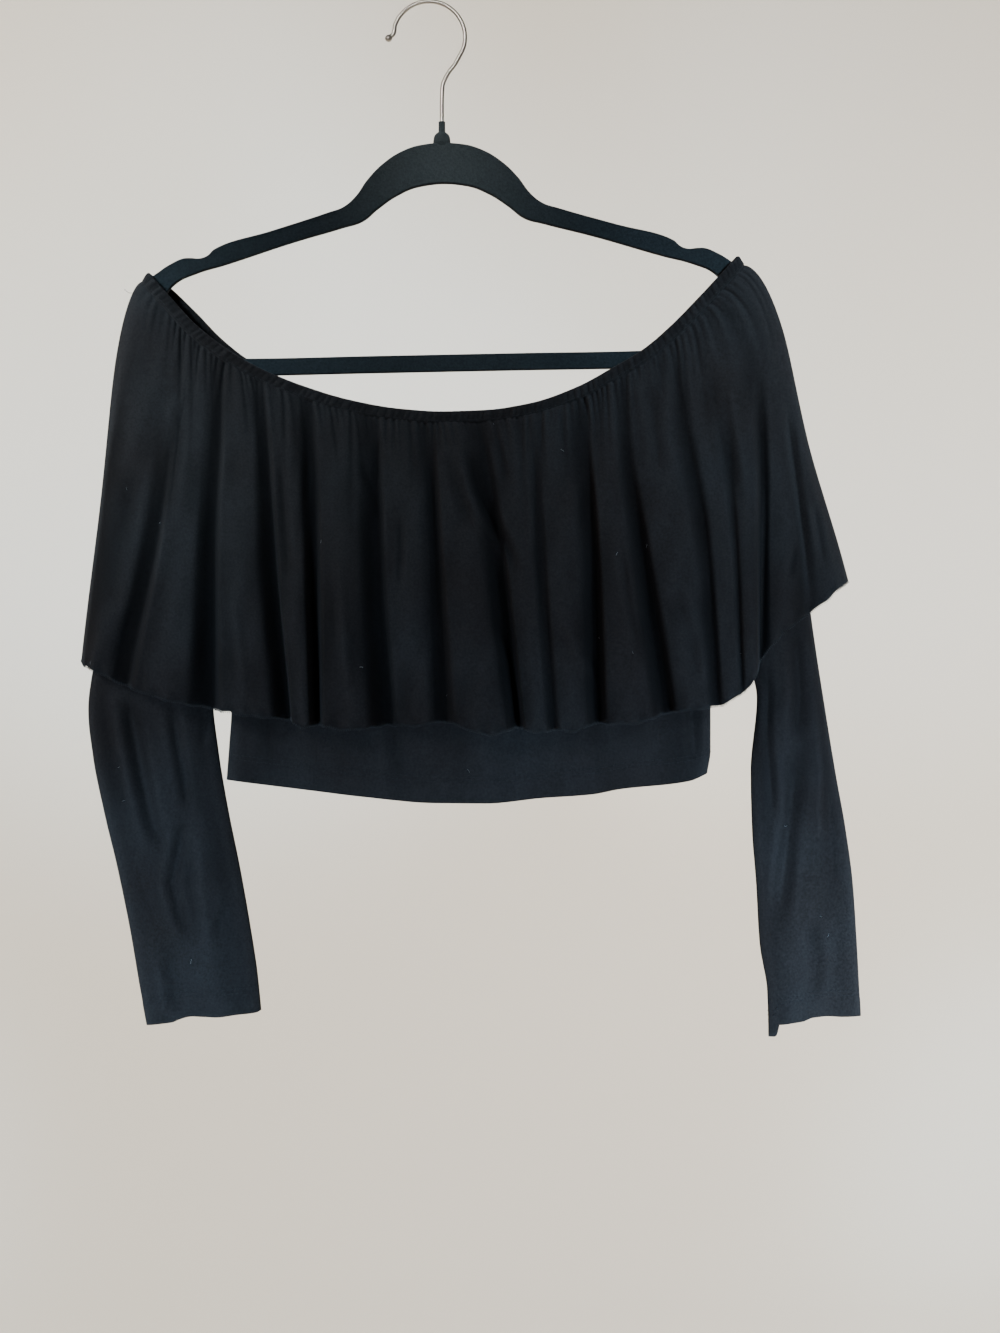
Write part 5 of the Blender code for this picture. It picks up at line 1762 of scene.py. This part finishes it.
    def around(self) -> np.ndarray:
        """The whole sleeve as rows that run round it, from the front's inner edge to the back's."""
        front = self.cap_rows(Side.FRONT) + self.tube_rows(Side.FRONT)
        back = self.cap_rows(Side.BACK) + self.tube_rows(Side.BACK)
        grid = np.stack([np.concatenate([near, far[-2::-1]]) for near, far in zip(front, back)])
        slack = Slack(self.seed, self.slack).at(grid[..., 0], grid[..., 2])
        flatness = np.clip(np.abs(grid[..., 1]) / self.edge_width, 0.0, 1.0)
        grid[..., 1] -= np.sign(grid[..., 1]) * np.maximum(slack, self.least_slack) * flatness**2
        press_creases(grid, [mark._replace(press=SLEEVE_CREASE_GAIN * mark.press) for mark in self.creases])
        grid[self.cap_count + 1 :, [0, -1], 1] = 0.0
        return grid

    def build(self) -> None:
        """Makes the sleeve, joined at the underarm and open at the armhole and the cuff."""
        grid = self.around()
        normals = grid_normals(grid) * -self.outward
        tube = slice(self.cap_count + 1, None)
        turn_hem(grid[tube, 1:-1], normals[tube, 1:-1])
        index = numbered(grid)
        index[self.cap_count :, -1] = index[self.cap_count :, 0]
        faces = grid_faces(index, self.outward < 0.0)
        obj = cloth_wall(self.name, grid, faces, self.finishes.jersey, self.face_from)
        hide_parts(self.node, f"{self.node}_cap")
        below = slice(self.cap_count, None)
        cuff = self.hem_stitches(f"{self.name}_cuff_stitches", grid[below], normals[below])
        self.grid = grid
        self.normals = normals


@dataclass
class Hanger:
    """The flocked hanger: a flat moulding, its collar and the wire hook."""

    finishes: Finishes
    thickness: float = 5.4
    edge: float = 1.1
    base_x: float = 9.4
    base_z: float = -102.0
    tilt: float = math.radians(1.15)
    wire: float = 3.0
    hook_radius: float = 26.4
    opens_at: float = math.radians(162.0)
    straightens_at: float = math.radians(-20.0)
    ball: float = 5.2
    ball_x: float = -29.6
    ball_z: float = -25.6
    ball_turn: tuple[float, float] = (172.0, 36.0)
    ball_steps: int = 18
    bend_steps: int = 72
    lip_steps: int = 14
    stem_steps: int = 44
    bore: float = 3.7
    collar_steps: int = 48
    collar_softness: float = 0.35
    collar_sharp: float = math.radians(40.0)

    def add_outline(self, curve: bpy.types.Curve, half_outline: Sequence[HangerPoint]) -> None:
        """Adds a closed smooth outline, mirrored from its right half, to a flat curve."""
        right = [(p.out, p.z) for p in half_outline]
        left = [(-out, z) for out, z in reversed(right)]
        spline = curve.splines.new("BEZIER")
        spline.bezier_points.add(len(right) + len(left) - 1)
        for point, (x, z) in zip(spline.bezier_points, right + left):
            point.co = (x * MM, z * MM, 0.0)
            point.handle_left_type = "AUTO"
            point.handle_right_type = "AUTO"
        spline.use_cyclic_u = True

    def body(self) -> None:
        """The moulding with its arch, notched arms, rounded ends and bar."""
        curve = bpy.data.curves.new("flocked_hanger", "CURVE")
        curve.dimensions = "2D"
        curve.fill_mode = "BOTH"
        curve.resolution_u = 10
        curve.extrude = (self.thickness / 2.0 - self.edge) * MM
        curve.bevel_depth = self.edge * MM
        curve.bevel_resolution = 4
        curve.offset = -self.edge * MM
        self.add_outline(curve, HANGER_OUTSIDE)
        self.add_outline(curve, HANGER_INSIDE)
        curve.materials.append(self.finishes.flock)
        hanger = add_object("flocked_hanger", curve)
        hanger.location = (self.base_x * MM, 0.0, self.base_z * MM)
        hanger.rotation_euler = (math.pi / 2.0, -self.tilt, 0.0)
        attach(hanger, ROOT)
        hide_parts("hanger_body")

    def collar(self) -> None:
        """The turned collar that holds the wire on top of the arch."""
        top_radius, top = COLLAR_PROFILE[0]
        skirt_across, skirt_deep = COLLAR_SKIRT
        points = []
        for turn in TURN * np.arange(self.collar_steps) / self.collar_steps:
            ring = []
            for radius, height in COLLAR_PROFILE:
                deep = min(radius, top_radius) + COLLAR_FLATNESS * max(radius - top_radius, 0.0)
                ring.append((radius, deep, height))
            fall = SKIRT_SIDE + (SKIRT_FACE - SKIRT_SIDE) * math.sin(turn) ** 2
            ring.append((skirt_across, skirt_deep, fall))
            ring.extend((self.bore / 2.0, self.bore / 2.0, height) for height in (0.0, top))
            for across, deep, height in ring:
                x = self.base_x + across * math.cos(turn)
                points.append((x, deep * math.sin(turn), self.base_z + height))
        index = np.arange(len(points)).reshape(self.collar_steps, -1)
        beside = np.roll(index, -1, axis=1)
        after = np.roll(index, -1, axis=0)
        faces = np.stack([beside, np.roll(beside, -1, axis=0), after, index], axis=-1).reshape(-1, 4)
        obj = new_mesh("flocked_collar", np.array(points), faces.tolist(), self.finishes.flock)
        bevel = obj.modifiers.new("Soft edges", "BEVEL")
        bevel.width = self.collar_softness * MM
        bevel.segments = 3
        bevel.limit_method = "ANGLE"
        bevel.angle_limit = self.collar_sharp
        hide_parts("hanger_collar")

    def hook_route(self) -> list[tuple[float, float, float]]:
        """The wire's x, z and radius from its ball tip over the bend and down the stem."""
        wire = self.wire / 2.0
        ball = self.ball / 2.0
        toward_lip = unit(np.array([HOOK_LIP[0].x - self.ball_x, HOOK_LIP[0].z - self.ball_z]))
        route = []
        for turn in np.radians(np.linspace(*self.ball_turn, self.ball_steps)):
            x, z = np.array([self.ball_x, self.ball_z]) + toward_lip * ball * math.cos(turn)
            route.append((x, z, ball * math.sin(turn)))
        angles = np.linspace(self.opens_at, self.straightens_at, self.bend_steps)
        centre_z = wire - self.hook_radius
        radius = self.hook_radius
        bend = [EdgePoint(radius * math.cos(a), centre_z + radius * math.sin(a)) for a in angles]
        lip = path_curve((EdgePoint(route[-1][0], route[-1][1]), *HOOK_LIP, bend[0]))
        route.extend((*lip(t), wire) for t in np.linspace(0.0, 1.0, self.lip_steps)[1:-1])
        route.extend((p.x, p.z, wire) for p in bend)
        stem = path_curve((bend[-1], *HOOK_STEM))
        route.extend((*stem(t), wire) for t in np.linspace(0.0, 1.0, self.stem_steps)[1:])
        return [(float(x), float(z), float(radius)) for x, z, radius in route]

    def hook(self) -> None:
        """The satin wire hook with its ball tip, seated in the collar."""
        route = self.hook_route()
        curve = bpy.data.curves.new("wire_hook", "CURVE")
        curve.dimensions = "3D"
        curve.bevel_depth = self.wire / 2.0 * MM
        curve.bevel_resolution = 6
        curve.use_fill_caps = True
        spline = curve.splines.new("POLY")
        spline.points.add(len(route) - 1)
        for point, (x, z, radius) in zip(spline.points, route):
            point.co = (x * MM, 0.0, z * MM, 1.0)
            point.radius = radius / (self.wire / 2.0)
        spline.use_smooth = True
        curve.materials.append(self.finishes.steel)
        hook = add_object("wire_hook", curve)
        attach(hook, ROOT)
        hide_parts("hanger_hook")

    def build(self) -> None:
        """Makes the moulding, the collar and the hook."""
        self.body()
        self.collar()
        self.hook()


@dataclass
class Lint:
    """The few pale fibres and the loose thread end that cling to the cloth."""

    finishes: Finishes
    seed: int = 5
    scattered: int = 9
    fibre: float = 0.055
    front_from: float = -6.0
    lengths: tuple[float, float] = (1.2, 3.6)
    most_bend: float = 0.5
    arch: float = 0.15
    thread: float = 0.16
    thread_from: tuple[float, float, float] = (-213.0, -5.0, -216.0)
    thread_run: tuple[float, float, float] = (-10.0, -1.6, 9.0)
    thread_kink: float = 0.8
    thread_sag: float = 4.5

    def fibres(self, panels: Sequence[Panel]) -> None:
        """Lays short curved fibres on the front of the panels.

        Args:
            panels: the dressed cloth pieces, each with its grid and normals.
        """
        draw = np.random.default_rng(self.seed)
        points = np.concatenate([p.grid.reshape(-1, 3) for p in panels])
        normals = np.concatenate([p.normals.reshape(-1, 3) for p in panels])
        front = points[:, 1] < self.front_from
        points = points[front]
        normals = normals[front]
        places = [np.array(p) for p in LINT_PLACES]
        for _ in range(self.scattered):
            places.append(points[draw.integers(len(points))][[0, 2]])
        paths = []
        for place in places:
            away = np.linalg.norm(points[:, [0, 2]] - place, axis=1) + 0.2 * points[:, 1]
            at = int(np.argmin(away))
            heading = draw.uniform(0.0, TURN)
            run = unit(np.array([math.cos(heading), 0.0, math.sin(heading)]))
            run = unit(run - normals[at] * (run @ normals[at]))
            beside = np.cross(normals[at], run)
            length = draw.uniform(*self.lengths)
            bend = draw.uniform(-self.most_bend, self.most_bend)
            path = []
            for step in np.linspace(-0.5, 0.5, 7):
                lift = JERSEY / 2.0 + self.fibre + self.arch * (1.0 - 4.0 * step * step)
                sideways = beside * length * bend * (0.25 - step * step)
                path.append(points[at] + run * length * step + sideways + normals[at] * lift)
            paths.append(path)
        radii = self.fibre * np.array([0.5, 0.9, 1.0, 1.0, 1.0, 0.9, 0.5])
        mesh_points, faces = tube_mesh(np.array(paths), radii, 4, False)
        new_mesh("lint", mesh_points, faces, self.finishes.lint)

    def loose_thread(self) -> None:
        """The thread end that stands out from the left shoulder."""
        steps = np.linspace(0.0, 1.0, 22)
        x = self.thread_from[0] + self.thread_run[0] * steps + self.thread_kink * np.sin(7.0 * steps)
        y = self.thread_from[1] + self.thread_run[1] * np.sin(3.0 * steps)
        z = self.thread_from[2] + self.thread_run[2] * steps - self.thread_sag * steps**2
        z += self.thread_kink * np.sin(9.0 * steps)
        path = np.stack([x, y, z], axis=1)[None]
        points, faces = tube_mesh(path, np.full(len(steps), self.thread), 5, False)
        obj = new_mesh("loose_thread", points, faces, self.finishes.thread)


@dataclass
class Studio:
    """A pale sweep, soft lights and the camera at the picture's viewing angle."""

    frame_height: float = 0.977
    centre: tuple[float, float] = (0.052, -0.486)
    distance: float = 1.5
    sensor: float = 36.0
    floor_z: float = -1.5
    backdrop_y: float = 2.4
    cove: float = 0.7
    half_width: float = 5.0
    floor_from: float = -5.0
    wall_top: float = 3.5
    cove_steps: int = 24
    wall: PaintFinish = PaintFinish("pale_sweep", (0.74, 0.72, 0.68, 1.0))

    def sweep(self) -> None:
        """The floor that curves up into the backdrop."""
        profile = [(self.floor_from, self.floor_z), (0.0, self.floor_z)]
        for turn in np.linspace(0.0, math.pi / 2.0, self.cove_steps):
            y = self.backdrop_y - self.cove + self.cove * math.sin(turn)
            z = self.floor_z + self.cove - self.cove * math.cos(turn)
            profile.append((y, z))
        profile.append((self.backdrop_y, self.wall_top))
        points = [(x, y, z) for x in (-self.half_width, self.half_width) for y, z in profile]
        count = len(profile)
        faces = [(i, count + i, count + i + 1, i + 1) for i in range(count - 1)]
        smooth_mesh("sweep", points, faces, self.wall.material())

    def lamp(
        self, data: bpy.types.Light, place: tuple, aim: tuple, power: float, colour: tuple, mirrored: bool
    ) -> None:
        """Stands a lamp at a place in metres, facing its aim, and mirrored in the wire or not."""
        data.energy = power
        data.color = colour
        lamp = add_object(data.name, data)
        lamp.location = place
        facing = Vector(aim) - Vector(place)
        lamp.rotation_mode = "QUATERNION"
        lamp.rotation_quaternion = facing.to_track_quat("-Z", "Y")
        lamp.visible_camera = False
        lamp.visible_glossy = mirrored

    def panel(
        self, name: str, place: tuple, aim: tuple, size: float, power: float, colour: tuple,
        mirrored: bool = False,
    ) -> None:
        """A soft square light with sides of a size in metres."""
        data = bpy.data.lights.new(name, "AREA")
        data.size = size
        self.lamp(data, place, aim, power, colour, mirrored)

    def pool(
        self, name: str, place: tuple, aim: tuple, cone: float, power: float, colour: tuple,
        radius: float = 0.16, mirrored: bool = False,
    ) -> None:
        """A soft round pool of light from a cone of an angle in degrees."""
        data = bpy.data.lights.new(name, "SPOT")
        data.spot_size = math.radians(cone)
        data.spot_blend = 1.0
        data.shadow_soft_size = radius
        self.lamp(data, place, aim, power, colour, mirrored)

    def lights(self) -> None:
        """Window light from the front left, cool pools on the sides, and the backdrop's own light."""
        middle = (0.05, 0.0, -0.45)
        self.panel("window", (-1.8, -1.6, 0.9), middle, 1.1, 20.5, (1.0, 0.85, 0.82), True)
        self.pool("low_right", (0.7, -0.95, -1.05), (0.32, 0.0, -0.75), 33.0, 445.0, (0.52, 0.81, 1.06))
        self.pool("low_left", (-0.65, -0.95, -1.05), (-0.21, 0.0, -0.72), 31.0, 252.0, (0.5, 0.79, 1.03))
        self.pool("right_shoulder", (0.95, -0.85, 0.2), (0.26, 0.0, -0.25), 20.0, 350.0, (0.6, 0.88, 1.06))
        self.pool("left_shoulder", (-0.85, -0.85, 0.2), (-0.26, 0.0, -0.26), 20.0, 345.0, (0.66, 0.95, 1.1))
        self.pool("arch", (-0.1, -0.6, 0.6), (0.01, 0.0, -0.11), 10.0, 170.0, (0.9, 1.0, 0.94), 0.05)
        self.pool("hook", (-0.16, -0.95, 0.2), (0.0, 0.0, -0.045), 7.6, 95.0, (1.0, 0.98, 0.95), 0.1, True)
        self.panel("rear", (0.9, 1.7, 0.7), middle, 1.1, 16.0, (0.95, 0.97, 1.0))
        self.panel("backdrop_left", (-1.6, 0.5, 0.6), (-0.6, 2.4, -0.5), 2.2, 69.0, (1.0, 0.9, 0.72))
        self.panel("backdrop_right", (1.7, 0.5, -0.2), (0.7, 2.4, -0.7), 2.2, 77.0, (1.0, 0.93, 0.82))
        world = bpy.data.worlds.new("studio_air")
        world.use_nodes = True
        air = world.node_tree.nodes["Background"]
        air.inputs["Color"].default_value = (0.9, 0.86, 0.86, 1.0)
        air.inputs["Strength"].default_value = 0.14
        bpy.context.scene.world = world

    def camera(self) -> None:
        """The camera, level and straight on, a little above the hem of the flounce."""
        data = bpy.data.cameras.new("camera")
        data.sensor_width = self.sensor
        data.lens = self.sensor * self.distance / self.frame_height
        camera = add_object("camera", data)
        camera.location = (self.centre[0], -self.distance, self.centre[1])
        camera.rotation_euler = (math.pi / 2.0, 0.0, 0.0)
        bpy.context.scene.camera = camera

    def build(self) -> None:
        """Makes the sweep, the lights and the camera."""
        self.sweep()
        self.lights()
        self.camera()


def main() -> None:
    """Dresses the top and its hanger, and sets up the studio."""
    logging.basicConfig(level=logging.INFO, format="%(message)s")
    Studio().build()
    finishes = Finishes.make()
    ring = NeckRing()
    gathers = Gathers(ring.lengths[-1])
    shared = {"ring": ring, "gathers": gathers, "finishes": finishes, "sewing": Sewing(finishes)}
    Hanger(finishes).build()
    LOG.info("hanger, collar and hook")
    NeckCasing(**shared).build()
    LOG.info("casing, %d gathers", len(gathers.places))
    panels = [
        Flounce(
            "front_flounce", "flounce_front", FRONT_FLOUNCE_CREASES, flat=(0.86, 0.3), area=0.165,
            seed=21, side=Side.FRONT, folds=FRONT_FOLDS, **shared,
        ),
        Flounce(
            "back_flounce", "flounce_back", BACK_FLOUNCE_CREASES, flat=(0.82, 0.3), area=0.155,
            seed=22, side=Side.BACK, folds=BACK_FOLDS, lean=-1.0, nearest_out=13.4, **shared,
        ),
        Bodice(
            "front_bodice", "bodice_front", FRONT_BODICE_CREASES, flat=(0.4, 0.31), area=0.1,
            seed=31, side=Side.FRONT, depth=13.0, **shared,
        ),
        Bodice(
            "back_bodice", "bodice_back", BACK_BODICE_CREASES, flat=(0.4, 0.31), area=0.1,
            seed=32, side=Side.BACK, depth=11.5, **shared,
        ),
        Sleeve(
            "left_sleeve", "sleeve_left", LEFT_SLEEVE_CREASES, flat=(0.24, 0.57), area=0.1, seed=41,
            outward=-1.0, neck_x=LEFT_ARMHOLE_NECK_X, armhole=LEFT_ARMHOLE, outer_fold=LEFT_OUTER_FOLD,
            sections=LEFT_SECTIONS, cuff=LEFT_CUFF, **shared,
        ),
        Sleeve(
            "right_sleeve", "sleeve_right", RIGHT_SLEEVE_CREASES, flat=(0.24, 0.57), area=0.1, seed=42,
            outward=1.0, neck_x=RIGHT_ARMHOLE_NECK_X, armhole=RIGHT_ARMHOLE, outer_fold=RIGHT_OUTER_FOLD,
            sections=RIGHT_SECTIONS, cuff=RIGHT_CUFF, cuff_droop=8.6, **shared,
        ),
    ]
    for panel in panels:
        panel.build()
        LOG.info("%s: %d rows by %d columns", panel.name, *panel.grid.shape[:2])
    lint = Lint(finishes)
    lint.fibres(panels)
    lint.loose_thread()


if __name__ == "__main__":
    main()
